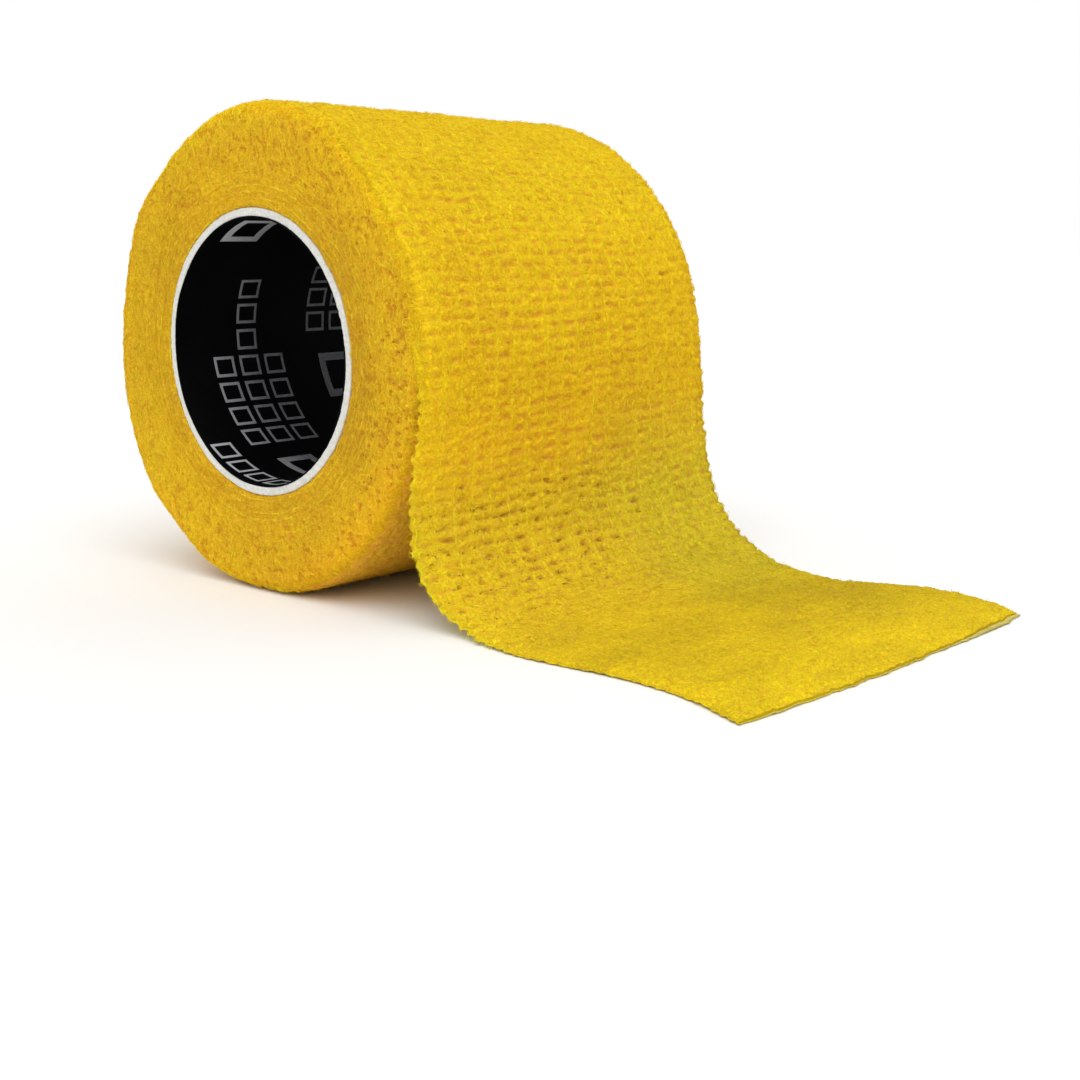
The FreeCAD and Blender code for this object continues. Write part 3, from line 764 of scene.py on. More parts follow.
def side_mesh(name, side, n_th, n_q, seed):
    th_p = np.linspace(0, 360, n_th, endpoint=False)
    n_rim = 13
    q = np.concatenate([np.linspace(0, 1, n_q - n_rim), np.ones(n_rim)])
    arc_a = np.concatenate([np.zeros(n_q - n_rim), np.linspace(0, 1, n_rim + 1)[1:]])
    TH_, Q = np.meshgrid(th_p, q, indexing="ij")
    A_ = np.repeat(arc_a[None, :], n_th, 0)
    turn_r = radius(TH_, np.full_like(TH_, float(side))) - 0.85 * step(338, 359.5, TH_)
    # less of it where the loose end lifts away
    most = 58.0 - 26.0 * step(296, 304, TH_) * (1 - step(357, 360, TH_)) + 8.0 * fbm(TH_ / 1.7, TH_ * 0 + 3.0 * side, seed + 50, 2)
    ANG = np.radians(most) * A_
    r_flat = turn_r - RHO - 0.10
    off = 0.09 - 0.25 * A_ ** 1.5
    flat_r = R_CORE + (r_flat - R_CORE) * Q
    layer = (flat_r - R_CORE) / TURN - TH_ / 360.0
    arc = np.radians(TH_) * flat_r
    fx, fz = flat_r * np.cos(np.radians(TH_)), -flat_r * np.sin(np.radians(TH_))
    # coordinates for the noise keep going round the rim
    far_out = flat_r + RHO * ANG
    ux, uz = far_out * np.cos(np.radians(TH_)), -far_out * np.sin(np.radians(TH_))
    near_core = 1 - step(0.20, 0.75, Q)
    wob = 0.35 * fbm(ux / 3.0, uz / 3.0, seed + 3, 2)
    groove = np.clip(np.cos(2 * np.pi * (layer + wob * 0.25)), 0, 1) ** 3
    turned = (TH_ + 90.0) % 360.0
    right = step(20, 60, turned) * (1 - step(115, 150, turned))                  # towards the loose end
    left = step(125, 150, TH_) * (1 - step(215, 240, TH_))
    shown = np.maximum(near_core, 0.8 * right * (1 - step(0.45, 0.90, Q)))
    shown = shown * step(-0.15, 0.30, fbm(arc / 5.0, flat_r / 0.4, seed + 41, 2)) * (TH_ > 0.5) * (TH_ < 359.5)
    hair = np.clip(np.cos(2 * np.pi * (layer + 0.5 + wob * 0.5)), 0, 1) ** 4 * shown
    felt = fbm(ux / 0.7, uz / 0.7, seed, 3)
    loop = 1 - 2.2 * np.abs(fbm(ux / 0.9, uz / 0.9, seed + 21, 2))
    lumps = fbm(ux / 3.6, uz / 3.6, seed + 7, 3)
    dots = fbm(ux / 0.62 + 40, uz / 0.62, seed + 31, 2) + 0.30 * fbm(ux / 2.6, uz / 2.6 + 9, seed + 35, 2)
    dots = 0.95 * step(0.26, 0.62, dots + 0.07 * right) * (0.25 + 0.75 * step(0.1, 0.7, Q)) * (1 - (0.55 - 0.35 * right) * step(0.1, 0.6, A_)) * (1 - 0.5 * left)
    inner_roll = 0.30 * np.clip((0.05 - Q) / 0.05, 0, 1) ** 2
    relief = (0.06 * hair - 0.05 * groove * near_core - 0.22 * dots + (0.13 * felt + 0.08 * np.clip(loop, -0.6, 1)) * (1 - 0.3 * left)
              + 0.20 * lumps * (1 - 0.6 * A_) - inner_roll)
    relief = relief * (1 - 0.45 * A_ ** 3)
    R_A = RHO + off + relief
    on_flat = A_ <= 0
    rr = np.where(on_flat, flat_r, r_flat + R_A * np.sin(ANG))
    y = side * np.where(on_flat, HALF_W + off + relief, HALF_W - RHO + R_A * np.cos(ANG))
    x2, z2 = rr * np.cos(np.radians(TH_)), -rr * np.sin(np.radians(TH_))
    z2 = np.maximum(z2, FLOOR + 0.04)
    ring_face = np.arange(TH_.size).reshape(TH_.shape)
    # the hidden side
    y_in = side * (HALF_W - FACE_DEEP)
    v_in = np.full(n_th, side * (1 - FACE_DEEP / HALF_W))
    mid_r = under_turn(th_p, np.full(n_th, side * (1 - 0.5 * FACE_DEEP / HALF_W)))
    out_r = under_turn(th_p, v_in)
    cs, sn = np.cos(np.radians(th_p)), -np.sin(np.radians(th_p))
    extra = [np.stack([mid_r * cs, np.full(n_th, side * (HALF_W - 0.5 * FACE_DEEP)), mid_r * sn], -1),
             np.stack([out_r * cs, np.full(n_th, y_in), out_r * sn], -1),
             np.stack([R_CORE * cs, np.full(n_th, y_in), R_CORE * sn], -1)]
    verts = np.concatenate([np.stack([x2, y, z2], -1).reshape(-1, 3)] + extra)
    base = TH_.size
    ring = np.concatenate([ring_face] + [(base + k * n_th + np.arange(n_th))[:, None] for k in range(3)], 1)
    nx = np.roll(ring, -1, 0)
    f = np.stack([ring, np.roll(ring, -1, 1), np.roll(nx, -1, 1), nx], -1).reshape(-1, 4)
    t3 = verts[f[:, :3]]
    nn = np.cross(t3[:, 1] - t3[:, 0], t3[:, 2] - t3[:, 0])
    if (t3[:, 0] * nn).sum() < 0:
        f = f[:, ::-1]
    # region colour multipliers for the side face. Painted light: rim_w and the A_ terms lighten the rim, where the seam
    # with the outer turn would show a shadow line; low, lower_r, upper_r and rim_r lighten and warm the shaded places
    # next to the loose end and along the rim
    # warm, right and left darken the face towards the core, right of the core and on the left; upper, lower and rim_l
    # make the top, the bottom and the upper-left rim lighter; mott is random tone
    warm = step(0.60, 0.0, Q)
    rim_w = (0.45 + 0.55 * left) * step(0.80, 1.0, Q) + 0.8 * step(0.0, 0.6, A_)
    low = step(10, 40, TH_) * (1 - step(60, 95, TH_)) * step(0.55, 1.0, Q)
    mott = fbm(ux / 6.0, uz / 6.0, seed + 61, 2)
    spotted = right
    right = right * step(0.75, 0.15, Q)
    upper = step(225, 250, TH_) * (1 - step(290, 315, TH_))
    upper_r = step(290, 305, TH_) * (1 - step(322, 336, TH_)) * step(0.45, 0.80, Q)
    lower_r = step(16, 28, TH_) * (1 - step(55, 80, TH_)) * step(0.50, 0.80, Q)
    rim_r = step(268, 290, TH_) * step(0.05, 0.6, A_)
    rim_l = step(220, 236, TH_) * (1 - step(268, 285, TH_)) * step(0.75, 1.0, Q)
    lower = step(85, 105, TH_) * (1 - step(150, 175, TH_)) * step(0.15, 0.5, Q)
    shade = np.stack([1 - 0.05 * warm + 0.05 * rim_w + 0.05 * A_ + 0.05 * low + 0.05 * lower_r + 0.07 * upper_r + 0.03 * rim_r - 0.10 * right - 0.05 * left + 0.04 * upper + 0.05 * lower + 0.04 * mott,
                      1 - 0.09 * warm + 0.04 * rim_w + 0.03 * A_ - 0.02 * low + 0.07 * lower_r + 0.10 * upper_r + 0.06 * rim_r + 0.07 * rim_l - 0.12 * right - 0.03 * left + 0.05 * upper + 0.08 * lower + 0.06 * mott,
                      1.1 + 0.0 * Q], -1)

    def ext(a, fill):
        return np.concatenate([a.reshape(-1), np.full(3 * n_th, fill)])

    # painted shade: the dots' hollows are tinted orange through pit, and darker right of the core through hole
    attrs = {"tape_uv": np.concatenate([np.stack([ux, uz, np.full_like(ux, 60.0 * side)], -1).reshape(-1, 3)]
                                       + [e * 1.0 for e in extra]),
             "pit": ext(np.clip(dots * (0.9 + 0.1 * spotted), 0, 1), 0.1), "hole": ext(0.16 * spotted * dots ** 2, 0.0), "thread": ext(shown, 0.0),
             "across": ext(layer + 0.5 + wob * 0.5, 0.5),
             "shade": np.concatenate([shade.reshape(-1, 3), np.ones((3 * n_th, 3))])}
    ob = make_mesh(name, verts, [f], attrs, materials=(MAT_SIDE,))
    return ob


face_near = side_mesh("wound_face_near", -1, 1150, 76, 200)
face_far = side_mesh("wound_face_far", 1, 900, 64, 260)

N_TH = 760
th_p = np.linspace(0, 360, N_TH, endpoint=False)
yo = np.linspace(-1, 1, 62)
V_END = 1 - FACE_DEEP / HALF_W
THo, VO = np.meshgrid(th_p, yo * V_END, indexing="ij")
ro = under_turn(THo, VO)
arc_o = np.radians(THo) * ro
calm = 1 - np.abs(VO / V_END) ** 12
rel = (0.06 * np.cos(2 * np.pi * arc_o / PITCH) + 0.10 * fbm(arc_o / 1.4, VO * HALF_W / 1.4, 301, 3) - 0.14) * calm
xo = (ro + rel) * np.cos(np.radians(THo))
zo = -(ro + rel) * np.sin(np.radians(THo))
yi = np.array([-1.0, -0.5, 0.0, 0.5, 1.0]) * V_END
THi, VI = np.meshgrid(th_p, yi, indexing="ij")
ri = np.full_like(THi, R_CORE)
pv = np.concatenate([np.stack([xo, VO * HALF_W, zo], -1).reshape(-1, 3),
                     np.stack([ri * np.cos(np.radians(THi)), VI * HALF_W, -ri * np.sin(np.radians(THi))], -1).reshape(-1, 3)])
o_idx = np.arange(THo.size).reshape(THo.shape)
i_idx = THo.size + np.arange(THi.size).reshape(THi.shape)
ring = np.concatenate([o_idx, i_idx[:, ::-1]], 1)
nxt = np.roll(ring, -1, 0)
pq = np.stack([ring, np.roll(ring, -1, 1), np.roll(nxt, -1, 1), nxt], -1).reshape(-1, 4)
tri = pv[pq[:, :3]]
nn = np.cross(tri[:, 1] - tri[:, 0], tri[:, 2] - tri[:, 0])
if (tri[:, 0] * nn).sum() < 0:
    pq = pq[:, ::-1]
n_i = THi.size
# the pit attribute paints shade into the pack's crepe valleys
pack_attrs = {"tape_uv": np.concatenate([np.stack([arc_o, VO * HALF_W, np.full_like(ro, 90.0)], -1).reshape(-1, 3),
                                         np.stack([np.radians(THi) * ri, VI * HALF_W, ri * 0 + 120.0], -1).reshape(-1, 3)]),
              "pit": np.concatenate([(0.22 * np.clip(-np.cos(2 * np.pi * arc_o / PITCH), 0, 1)).reshape(-1), np.zeros(n_i)]),
              "hole": np.zeros(len(pv)), "thread": np.zeros(len(pv)), "across": np.full(len(pv), 0.5), "shade": np.ones((len(pv), 3))}
pack = make_mesh("wound_pack", pv, [pq], pack_attrs, materials=(MAT_SIDE,))

# ------------------------------------------------------------------ loose fibres
def fibres(name, roots, nrm, tan, seed, n_pts=5, length=(0.5, 1.5), lift=(0.06, 0.22), thick=0.028, stick=0.0, combed=None, shade=None):
    """Short curled fibres lying on a surface, each a thin closed tube whose ends sink into it."""
    rs = np.random.RandomState(seed)
    n = len(roots)
    bit = np.cross(nrm, tan)
    ang = rs.uniform(0, 2 * np.pi, n)
    stretch = np.ones(n)
    if combed is not None:                              # these run mostly along the turns
        along_turn = rs.rand(n) < combed
        ang = np.where(along_turn, rs.normal(0, 0.22, n), ang)
        stretch = np.where(along_turn, rs.uniform(1.2, 2.4, n), 1.0)
    u = tan * np.cos(ang)[:, None] + bit * np.sin(ang)[:, None]
    v = np.cross(nrm, u)
    L = rs.uniform(*length, n) * stretch
    H = rs.uniform(*lift, n)
    bend = rs.normal(0, 0.45, n) / stretch ** 2
    wave = rs.normal(0, 0.16, n) / stretch ** 2
    t = np.linspace(0, 1, n_pts)
    along = (t - 0.5)[None, :] * L[:, None]
    side = (bend * L)[:, None] * (0.25 - (t - 0.5) ** 2)[None, :] + (wave * L)[:, None] * np.sin(2 * np.pi * t)[None, :]
    up = H[:, None] * (1 - (2 * t - 1) ** 2)[None, :] * 1.35 - 0.05
    if stick:
        free = rs.rand(n) < stick                       # one end stands free
        up = np.where(free[:, None], -0.05 + (H * 1.5)[:, None] * t[None, :] ** 1.3, up)
        along = np.where(free[:, None], along * 0.7, along)
    P = roots[:, None, :] + u[:, None, :] * along[..., None] + v[:, None, :] * side[..., None] + nrm[:, None, :] * up[..., None]
    T = np.gradient(P, axis=1)
    T /= np.maximum(np.linalg.norm(T, axis=2, keepdims=True), 1e-9)
    A = np.cross(T, nrm[:, None, :])
    A /= np.maximum(np.linalg.norm(A, axis=2, keepdims=True), 1e-9)
    B = np.cross(T, A)
    rad = (thick * rs.uniform(0.75, 1.25, n))[:, None] * (0.55 + 0.45 * np.sin(np.pi * t))[None, :]
    rings = []
    for k in range(3):
        a = 2 * np.pi * k / 3
        rings.append(P + (A * math.cos(a) + B * math.sin(a)) * rad[..., None])
    V_ = np.stack(rings, 2)                             # n, n_pts, 3, 3
    verts = V_.reshape(-1, 3)
    verts[:, 2] = np.maximum(verts[:, 2], FLOOR + 0.005)
    idx = np.arange(n * n_pts * 3).reshape(n, n_pts, 3)
    quads = []
    for k in range(3):
        k2 = (k + 1) % 3
        quads.append(np.stack([idx[:, :-1, k], idx[:, 1:, k], idx[:, 1:, k2], idx[:, :-1, k2]], -1).reshape(-1, 4))
    quads = np.concatenate(quads)
    caps = np.concatenate([idx[:, 0, :], idx[:, -1, ::-1]])
    t3 = verts[quads[:, :3]]
    nn = np.cross(t3[:, 1] - t3[:, 0], t3[:, 2] - t3[:, 0])
    q_id = quads[:, 0] // 3
    if (nn * (t3[:, 0] - P.reshape(-1, 3)[q_id])).sum() < 0:
        quads = quads[:, ::-1]
    else:
        caps = caps[:, ::-1]
    tone = np.repeat(rs.rand(n), n_pts * 3)
    # the fibres take the painted light and shade of the surface under them
    tint = np.repeat(np.ones((n, 3)) if shade is None else shade, n_pts * 3, 0)
    ob = make_mesh(name, verts, [quads, caps], {"tone": tone, "shade": tint}, materials=(MAT_FIBRE,))
    return ob


def fibre_material():
    m, nt, bsdf = new_material("tape_fibre")
    tone = attr(nt, "tone").outputs["Fac"]
    c = mix_color(nt, remap(nt, tone, 0.0, 0.45, 0.0, 1.0), (0.80, 0.44, 0.015), (0.98, 0.67, 0.016))
    c = mix_color(nt, remap(nt, tone, 0.5, 1.0, 0.0, 1.0), c, (1.0, 0.84, 0.03))
    # the shade attribute multiplies in that painted light and shade
    mul = nt.nodes.new("ShaderNodeVectorMath")
    mul.operation = "MULTIPLY"
    nt.links.new(c, mul.inputs[0])
    nt.links.new(attr(nt, "shade").outputs["Vector"], mul.inputs[1])
    nt.links.new(mul.outputs[0], bsdf.inputs["Base Color"])
    bsdf.inputs["Roughness"].default_value = 0.7
    bsdf.inputs["Specular IOR Level"].default_value = 0.1
    return m


MAT_FIBRE = fibre_material()


def on_strip(i0, i1, n, seed, edge_share=0.18, keep=None):
    """Random places on the tape's face between two stations, some of them on its edges."""
    rs = np.random.RandomState(seed)
    fi = rs.uniform(i0 + 1, i1 - 1, n)
    fj = rs.uniform(0, COLS - 1, n)
    e = rs.rand(n) < edge_share
    fj = np.where(e, np.where(rs.rand(n) < 0.5, rs.uniform(0, 3, n), COLS - 1 - rs.uniform(0, 3, n)), fj)
    i, j = np.round(fi).astype(int), np.round(fj).astype(int)
    if keep is not None:
        ok = rs.rand(n) < keep[i, j]
        i, j, e = i[ok], j[ok], e[ok]
    g = TOP_N[i, j]
    t_ = TOP_T[i, j]
    r_ = TOP[i, j].copy()
    # edge fibres point out sideways as well
    out = side_dir[i] * np.where(j < COLS / 2, -1.0, 1.0)[:, None]
    g = np.where(e[:, None], g * 0.45 + out * 0.9, g)
    g /= np.linalg.norm(g, axis=1, keepdims=True)
    t_ = t_ - g * (t_ * g).sum(1, keepdims=True)
    t_ /= np.linalg.norm(t_, axis=1, keepdims=True)
    r_ += np.where(e[:, None], out * 0.10 - NRM[i, j] * 0.15, 0)
    return dict(roots=r_, nrm=g, tan=t_, shade=SHADE[i, j])


TOP_T = np.gradient(TOP, axis=0)
TOP_T /= np.maximum(np.linalg.norm(TOP_T, axis=2, keepdims=True), 1e-9)
TOP_N = normals_of(TOP)
flip_n = (TOP_N * NRM).sum(2) < 0
TOP_N[flip_n] *= -1
FIB = dict(length=(0.45, 1.35), lift=(0.05, 0.20), stick=0.10)
density = np.clip(0.80 + 0.25 * front - 0.56 * on_floor - 0.2 * behind, 0, 1)
density[:, :5] *= (1 - 0.9 * on_floor[:, :5])
density[:, -5:] *= (1 - 0.9 * on_floor[:, -5:])
fib_lower = fibres("outer_turn_lower_fibres", seed=601, **on_strip(i_a, i_b, 4200, 501, keep=density), **FIB)
fib_upper = fibres("outer_turn_upper_fibres", seed=602, **on_strip(i_b, i_c, 8200, 502, keep=density), **FIB)
fib_peel = fibres("loose_wrap_fibres", seed=603, **on_strip(i_c, i_d, 7400, 503, keep=density), **FIB)
fib_root = fibres("tail_root_fibres", seed=604, **on_strip(i_d, i_e, 6200, 504, keep=density), **FIB)
fib_bend = fibres("tail_bend_fibres", seed=605, **on_strip(i_e, i_f, 8000, 505, keep=density), **FIB)
fib_tip = fibres("tail_tip_fibres", seed=606, **on_strip(i_f, i_g - 2, 4200, 506, keep=density), **FIB)


def on_side(ob, n, seed, n_th, n_q, seam=False):
    """Random places on a side face mesh, more of them towards the rim, or only across the rim's seam."""
    rs = np.random.RandomState(seed)
    co = np.empty(len(ob.data.vertices) * 3, np.float32)
    ob.data.vertices.foreach_get("co", co)
    co = co.reshape(-1, 3) / MM
    co = co[:n_th * n_q].reshape(n_th, n_q, 3)
    # the painted light and shade of the face, for the fibres rooted on it
    tint = np.empty(len(ob.data.vertices) * 3, np.float32)
    ob.data.attributes["shade"].data.foreach_get("vector", tint)
    tint = tint.reshape(-1, 3)[:n_th * n_q].reshape(n_th, n_q, 3)
    qi = np.clip((rs.rand(n) ** 0.72) * n_q, 0, n_q - 2).astype(int)
    if seam:
        qi = rs.randint(n_q - 9, n_q - 1, n)
    ti = rs.randint(0, n_th, n)
    r_ = co[ti, qi]
    side = np.sign(co[0, 0, 1])
    g = np.tile(np.array([0.0, side, 0.0]), (n, 1))
    rim = step(0.80, 1.0, qi / n_q)[:, None]
    radial = np.stack([r_[:, 0], 0 * ti, r_[:, 2]], -1)
    radial /= np.linalg.norm(radial, axis=1, keepdims=True)
    g = g + radial * rim * 1.3
    g /= np.linalg.norm(g, axis=1, keepdims=True)
    t_ = np.cross(radial, np.tile(np.array([0.0, 1.0, 0.0]), (n, 1)))
    t_ /= np.linalg.norm(t_, axis=1, keepdims=True)
    return dict(roots=r_, nrm=g, tan=t_, shade=tint[ti, qi], combed=0.85 * step(0.72, 0.10, qi / n_q))


FIB_SIDE = dict(length=(0.5, 1.5), lift=(0.04, 0.15), thick=0.025, stick=0.08)
fib_near = fibres("wound_face_near_fibres", seed=607, **on_side(face_near, 7600, 507, 1150, 76), **FIB_SIDE)
fib_far = fibres("wound_face_far_fibres", seed=608, **on_side(face_far, 5000, 508, 900, 64), **FIB_SIDE)
FIB_SEAM = dict(length=(0.6, 1.7), lift=(0.06, 0.20), thick=0.027, stick=0.10)
fib_rim_near = fibres("wound_rim_near_fibres", seed=609, **on_side(face_near, 4200, 509, 1150, 76, True), **FIB_SEAM)
fib_rim_far = fibres("wound_rim_far_fibres", seed=610, **on_side(face_far, 2600, 510, 900, 64, True), **FIB_SEAM)

# ------------------------------------------------------------------ the core
def board_material():
    m, nt, bsdf = new_material("core_board")
    tc = nt.nodes.new("ShaderNodeTexCoord").outputs["Object"]
    n1 = noise_node(nt, tc, 2600.0, 4.0, 0.7, 0.4)
    n2 = noise_node(nt, tc, 420.0, 3.0, 0.6)
    col = mix_color(nt, remap(nt, n1, 0.35, 0.65, 0.0, 1.0), (0.63, 0.63, 0.585), (0.81, 0.815, 0.77))
    col = mix_color(nt, remap(nt, n2, 0.55, 0.75, 0.0, 0.5), col, (0.54, 0.54, 0.50))
    nt.links.new(col, bsdf.inputs["Base Color"])
    bsdf.inputs["Roughness"].default_value = 0.9
    bsdf.inputs["Specular IOR Level"].default_value = 0.2
    bump = nt.nodes.new("ShaderNodeBump")
    bump.inputs["Strength"].default_value = 0.7
    bump.inputs["Distance"].default_value = 0.0001
    nt.links.new(n1, bump.inputs["Height"])
    nt.links.new(bump.outputs[0], bsdf.inputs["Normal"])
    return m


def liner_material():
    m, nt, bsdf = new_material("liner_paper")
    tc = nt.nodes.new("ShaderNodeTexCoord").outputs["Object"]
    n1 = noise_node(nt, tc, 1400.0, 4.0, 0.65, 0.3)
    n2 = noise_node(nt, tc, 90.0, 2.0, 0.5)
    col = mix_color(nt, remap(nt, n1, 0.3, 0.7, 0.0, 1.0), (0.0008, 0.0008, 0.0010), (0.0022, 0.0022, 0.0025))
    col = mix_color(nt, remap(nt, n2, 0.4, 0.7, 0.0, 0.6), col, (0.0030, 0.0030, 0.0035))
    nt.links.new(col, bsdf.inputs["Base Color"])
    nt.links.new(remap(nt, n2, 0.3, 0.7, 0.52, 0.66), bsdf.inputs["Roughness"])
    bsdf.inputs["Specular IOR Level"].default_value = 0.04
    bump = nt.nodes.new("ShaderNodeBump")
    bump.inputs["Strength"].default_value = 0.25
    bump.inputs["Distance"].default_value = 0.00005
    nt.links.new(n1, bump.inputs["Height"])
    nt.links.new(bump.outputs[0], bsdf.inputs["Normal"])
    return m


def print_material():
    m, nt, bsdf = new_material("liner_print")
    tc = nt.nodes.new("ShaderNodeTexCoord").outputs["Object"]
    n1 = noise_node(nt, tc, 2200.0, 4.0, 0.7, 0.3)
    col = mix_color(nt, remap(nt, n1, 0.35, 0.7, 0.0, 1.0), (0.12, 0.124, 0.132), (0.215, 0.22, 0.232))
    # painted light: the print is made lighter towards both ends of the bore, where more light falls in
    xyz = nt.nodes.new("ShaderNodeSeparateXYZ")
    nt.links.new(tc, xyz.inputs[0])
    edge = remap(nt, math_node(nt, "ABSOLUTE", xyz.outputs["Y"]), 0.0130, 0.0235, 0.0, 0.75)
    col = mix_color(nt, edge, col, (0.60, 0.61, 0.63))
    nt.links.new(col, bsdf.inputs["Base Color"])
    bsdf.inputs["Roughness"].default_value = 0.6
    return m


MAT_BOARD, MAT_LINER, MAT_PRINT = board_material(), liner_material(), print_material()


def tube_mesh(name, r_in, r_out, n_th, profile, mats, seed, fuzz, wall_steps=24):
    """A tube along Y with a rounded, slightly fuzzy end; profile is the corner radius."""
    ths = np.linspace(0, 2 * np.pi, n_th, endpoint=False)
    pts = []
    k = profile
    half = HALF_W
    for side in (-1, 1):
        seg = []
        for t in np.linspace(0, np.pi / 2, 4):
            seg.append((r_in + k - k * math.cos(t), half - k + k * math.sin(t)))
        for f in np.linspace(0.2, 0.8, 4):
            seg.append((r_in + k + (r_out - r_in - 2 * k) * f, half))
        for t in np.linspace(np.pi / 2, 0, 4):
            seg.append((r_out - k + k * math.cos(t), half - k + k * math.sin(t)))
        seg = [(r, side * y) for r, y in seg]
        pts.append(seg)
    ys = np.linspace(-half + k, half - k, wall_steps)[1:-1]
    prof = pts[0] + [(r_out, y) for y in ys] + pts[1][::-1] + [(r_in, y) for y in ys[::-1]]
    prof = np.array(prof)
    R = np.repeat(prof[None, :, 0], n_th, 0)
    Yv = np.repeat(prof[None, :, 1], n_th, 0)
    A = np.repeat(ths[:, None], len(prof), 1)
    wrap = np.minimum(A, 2 * np.pi - A)
    near_end = np.clip(1 - (half - np.abs(Yv)) / 0.5, 0, 1)
    nz = fbm(np.cos(A) * R / 0.5 + 50, np.sin(A) * R / 0.5 + 50, seed, 2)
    nz2 = fbm(np.cos(A) * R / 5 + 50, np.sin(A) * R / 5 + 50, seed + 5, 2)
    Yv = Yv + np.sign(Yv) * near_end * (fuzz * nz + 0.10 * nz2)
    R = R + near_end * fuzz * 0.6 * fbm(A * 17 / 0.4 + 9, Yv / 0.4, seed + 9, 2) * (R > (r_in + r_out) / 2)
    v = np.stack([R * np.cos(A), Yv, -R * np.sin(A)], -1)
    m = len(prof)
    idx = np.arange(n_th * m).reshape(n_th, m)
    nx = np.roll(idx, -1, 0)
    f = np.stack([idx, np.roll(idx, -1, 1), np.roll(nx, -1, 1), nx], -1).reshape(-1, 4)
    vv = v.reshape(-1, 3)
    t3 = vv[f[:, :3]]
    nn = np.cross(t3[:, 1] - t3[:, 0], t3[:, 2] - t3[:, 0])
    if (t3[:, 0] * nn).sum() < 0:
        f = f[:, ::-1]
    return make_mesh(name, vv, [f], materials=mats)


board = tube_mesh("core_board", CORE_IN + 0.15, CORE_OUT, 720, 0.16, (MAT_BOARD,), 401, 0.06)
liner = tube_mesh("core_liner", CORE_IN, CORE_IN + 0.15, 480, 0.03, (MAT_LINER,), 431, 0.02)


def ink_blocks():
    """Plain hollow grey blocks printed round the liner, three rows to a group: no letters and no mark."""
    verts, faces = [], []
    n0 = 0
    r = CORE_IN - 0.012

    def bar(a0, a1, y0, y1, ref):
        """One bar from arc a0 to a1 and depth y0 to y1; the rows lean a little from the arc ref."""
        nonlocal n0
        k = 4
        a = a0 + (a1 - a0) * np.linspace(0, 1, k)
        for rad in (r, r + 0.03):
            for yv in (y0, y1):
                verts.append(np.stack([rad * np.cos(a / r), yv - 0.07 * (a - ref), -rad * np.sin(a / r)], -1))
        i00 = n0 + np.arange(k)
        i01, i10, i11 = i00 + k, i00 + 2 * k, i00 + 3 * k
        for p, qd in ((i00, i01), (i11, i10), (i10, i00), (i01, i11)):
            faces.append(np.stack([p[:-1], p[1:], qd[1:], qd[:-1]], -1))
        faces.append(np.array([[i00[0], i01[0], i11[0], i10[0]], [i00[-1], i10[-1], i11[-1], i01[-1]]]))
        n0 += 4 * k

    def block(a0, y0, wide, high, w, ref):
        """A hollow block, left out where it would pass an end of the core or the paper's seam."""
        near, far = y0 - 0.07 * (a0 - ref), y0 + high - 0.07 * (a0 - ref)
        if min(near, near - 0.07 * wide) < -HALF_W + 0.35 or far > HALF_W - 0.35 or a0 < -7.0 or a0 + wide > 91.0:
            return
        bar(a0, a0 + wide, y0, y0 + w, ref)
        bar(a0, a0 + wide, y0 + high - w, y0 + high, ref)
        bar(a0, a0 + w, y0 + w, y0 + high - w, ref)
        bar(a0 + wide - w, a0 + wide, y0 + w, y0 + high - w, ref)

    for line in range(-1, 4):
        for k in (-2, -1, 0, 1):
            if line < 0 and k > 0:
                continue
            ref = 35.5 + 15.5 * line + (3.6 if line < 0 else 0.0) + 39.1 * k
            y_line = -18.9 + 14.6 * line + (1.5 if line < 0 else 0.0) - (6.6 if k > 0 else 0.0)
            for row, count_ in enumerate((4, 7, 4)):
                for c in range(count_):
                    block(ref + 3.4 * c, y_line + 4.05 * row, 2.65, 3.15, 0.38, ref)
            # a larger plain block before each group
            block(ref - 9.3, y_line + 1.7, 6.2, 5.6, 1.05, ref)
    v = np.concatenate(verts)
    f = np.concatenate(faces)
    ob = make_mesh("liner_print_blocks", v, [f], smooth=False, materials=(MAT_PRINT,))
    return ob


ink = ink_blocks()

# ------------------------------------------------------------------ stage, light, camera
def stage_floor():
    bpy.ops.mesh.primitive_grid_add(x_subdivisions=8, y_subdivisions=8, size=6.0, location=(0, 0, FLOOR * MM - 0.00005))
    ob = bpy.context.object
    ob.name = "studio_floor"
    m, nt, bsdf = new_material("studio_white")
    bsdf.inputs["Base Color"].default_value = (0.97, 0.97, 0.965, 1)
    bsdf.inputs["Roughness"].default_value = 0.9
    bsdf.inputs["Specular IOR Level"].default_value = 0.1
    ob.data.materials.append(m)
    return ob


stage_floor()
world = bpy.data.worlds.new("studio") if not bpy.context.scene.world else bpy.context.scene.world
bpy.context.scene.world = world
world.use_nodes = True
bg = world.node_tree.nodes.get("Background") or world.node_tree.nodes.new("ShaderNodeBackground")
bg.inputs[0].default_value = (1.0, 1.0, 1.0, 1)
wnt = world.node_tree
path = wnt.nodes.new("ShaderNodeLightPath")
seen = wnt.nodes.new("ShaderNodeMapRange")              # the backdrop stays white, the light it gives is softer
seen.inputs["To Min"].default_value = 0.70
seen.inputs["To Max"].default_value = 1.0
wnt.links.new(path.outputs["Is Camera Ray"], seen.inputs["Value"])
wnt.links.new(seen.outputs[0], bg.inputs[1])


def sun(name, towards, soft_deg, strength):
    """A distant soft light; towards is the direction that it comes from."""
    li = bpy.data.lights.new(name, "SUN")
    li.angle = math.radians(soft_deg)
    li.energy = strength
    ob = bpy.data.objects.new(name, li)
    bpy.context.scene.collection.objects.link(ob)
    from mathutils import Vector
    ob.rotation_mode = "QUATERNION"
    ob.rotation_quaternion = Vector(towards).to_track_quat("Z", "Y")
    ob.location = Vector(towards) * 0.5
    return ob


sun("key", (0.42, -0.36, 0.83), 60.0, 1.50)

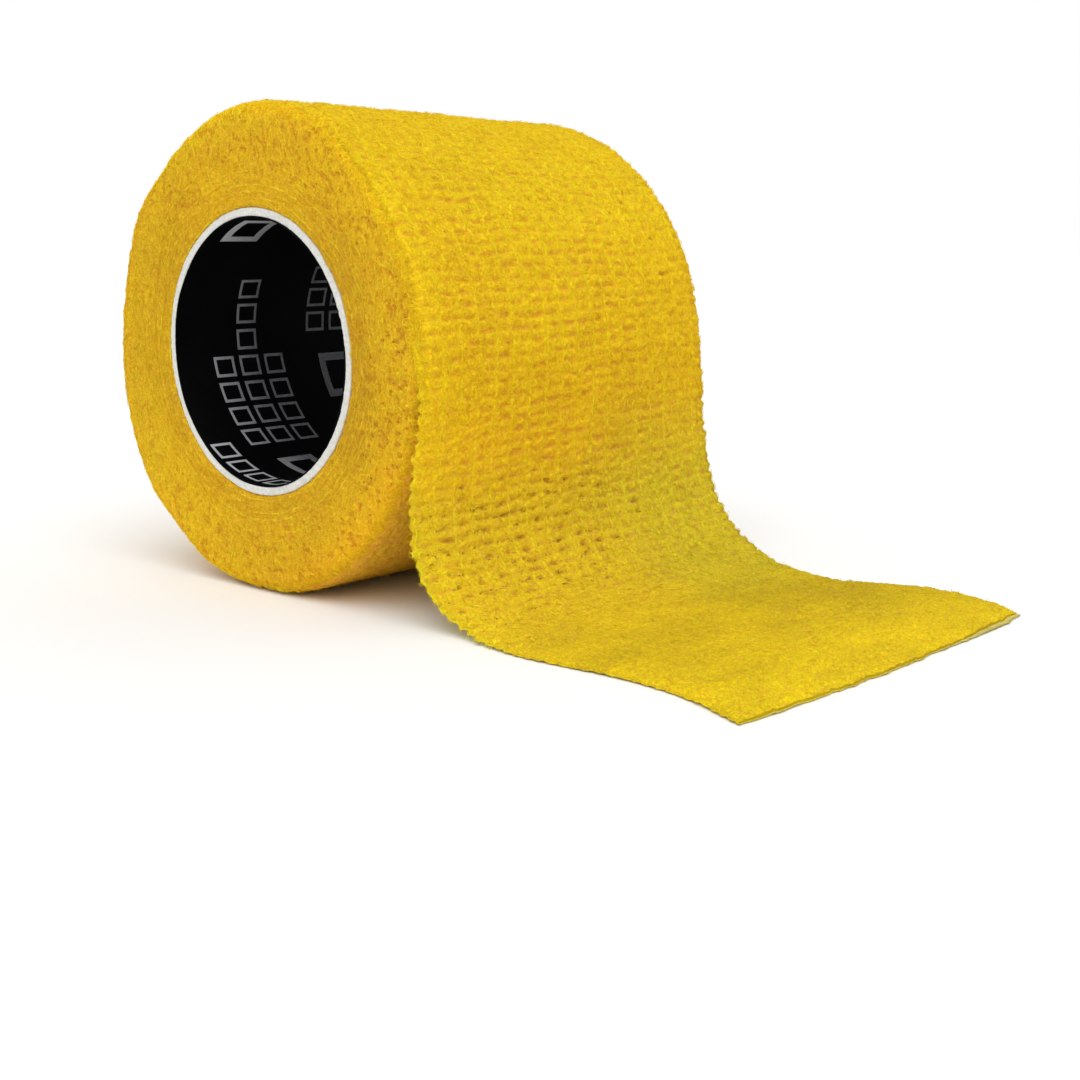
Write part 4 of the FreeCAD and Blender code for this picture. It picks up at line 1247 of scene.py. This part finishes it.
CAM_AZ, CAM_EL = math.radians(41.51), math.radians(11.22)
cam_data = bpy.data.cameras.new("camera")
cam = bpy.data.objects.new("camera", cam_data)
bpy.context.scene.collection.objects.link(cam)
from mathutils import Matrix, Vector
back_v = Vector((math.sin(CAM_AZ) * math.cos(CAM_EL), -math.cos(CAM_AZ) * math.cos(CAM_EL), math.sin(CAM_EL)))
right_v = Vector((math.cos(CAM_AZ), math.sin(CAM_AZ), 0))
up_v = right_v.cross(-back_v)
CAM_D, CAM_TX, CAM_TY, CAM_F = 200.2, 17.09, -25.90, 1524.1
loc = (back_v * CAM_D + right_v * CAM_TX + up_v * CAM_TY) * MM
rot = Matrix((right_v, up_v, back_v)).transposed().to_4x4()
cam.matrix_world = Matrix.Translation(loc) @ rot
cam_data.sensor_width = 36.0
cam_data.lens = CAM_F * 36.0 / 1080.0
cam_data.clip_start = 0.005
cam_data.clip_end = 20.0
bpy.context.scene.camera = cam
bpy.context.scene.view_settings.view_transform = "Standard"


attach(outer_lower, "roll")
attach(outer_upper, "roll")
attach(pack, "roll")
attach(face_near, "roll")
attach(face_far, "roll")
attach(board, "core")
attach(liner, "core")
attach(ink, "core")


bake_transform(peel_part)
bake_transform(root_part)
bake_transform(bend_part)
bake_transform(tip_part)

for ob in (fib_lower, fib_upper, fib_near, fib_far, fib_rim_near, fib_rim_far):
    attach(ob, "roll")
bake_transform(fib_peel)
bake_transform(fib_root)
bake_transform(fib_bend)
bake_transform(fib_tip)

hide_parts("wound_back_web", "wound_elastic_threads", "wound_face_web")
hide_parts("outer_wrap_back_web", "outer_wrap_elastic_threads", "outer_wrap_face_web")
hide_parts("loose_wrap_back_web", "loose_wrap_elastic_threads", "loose_wrap_face_web")
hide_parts("tail_drop_back_web", "tail_drop_elastic_threads", "tail_drop_face_web")
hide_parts("tail_floor_back_web", "tail_floor_elastic_threads", "tail_floor_face_web")
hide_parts("tail_tip_back_web", "tail_tip_elastic_threads", "tail_tip_face_web")
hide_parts("core_inner_board_ply", "core_outer_board_ply")
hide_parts("core_printed_liner")

for ob in (outer_lower, outer_upper, peel_part, root_part, bend_part, tip_part, pack, face_near, face_far, board, liner, ink,
           fib_lower, fib_upper, fib_peel, fib_root, fib_bend, fib_tip, fib_near, fib_far, fib_rim_near, fib_rim_far):
    me = ob.data
    me.calc_loop_triangles()
    print(ob.name, "triangles", len(me.loop_triangles))
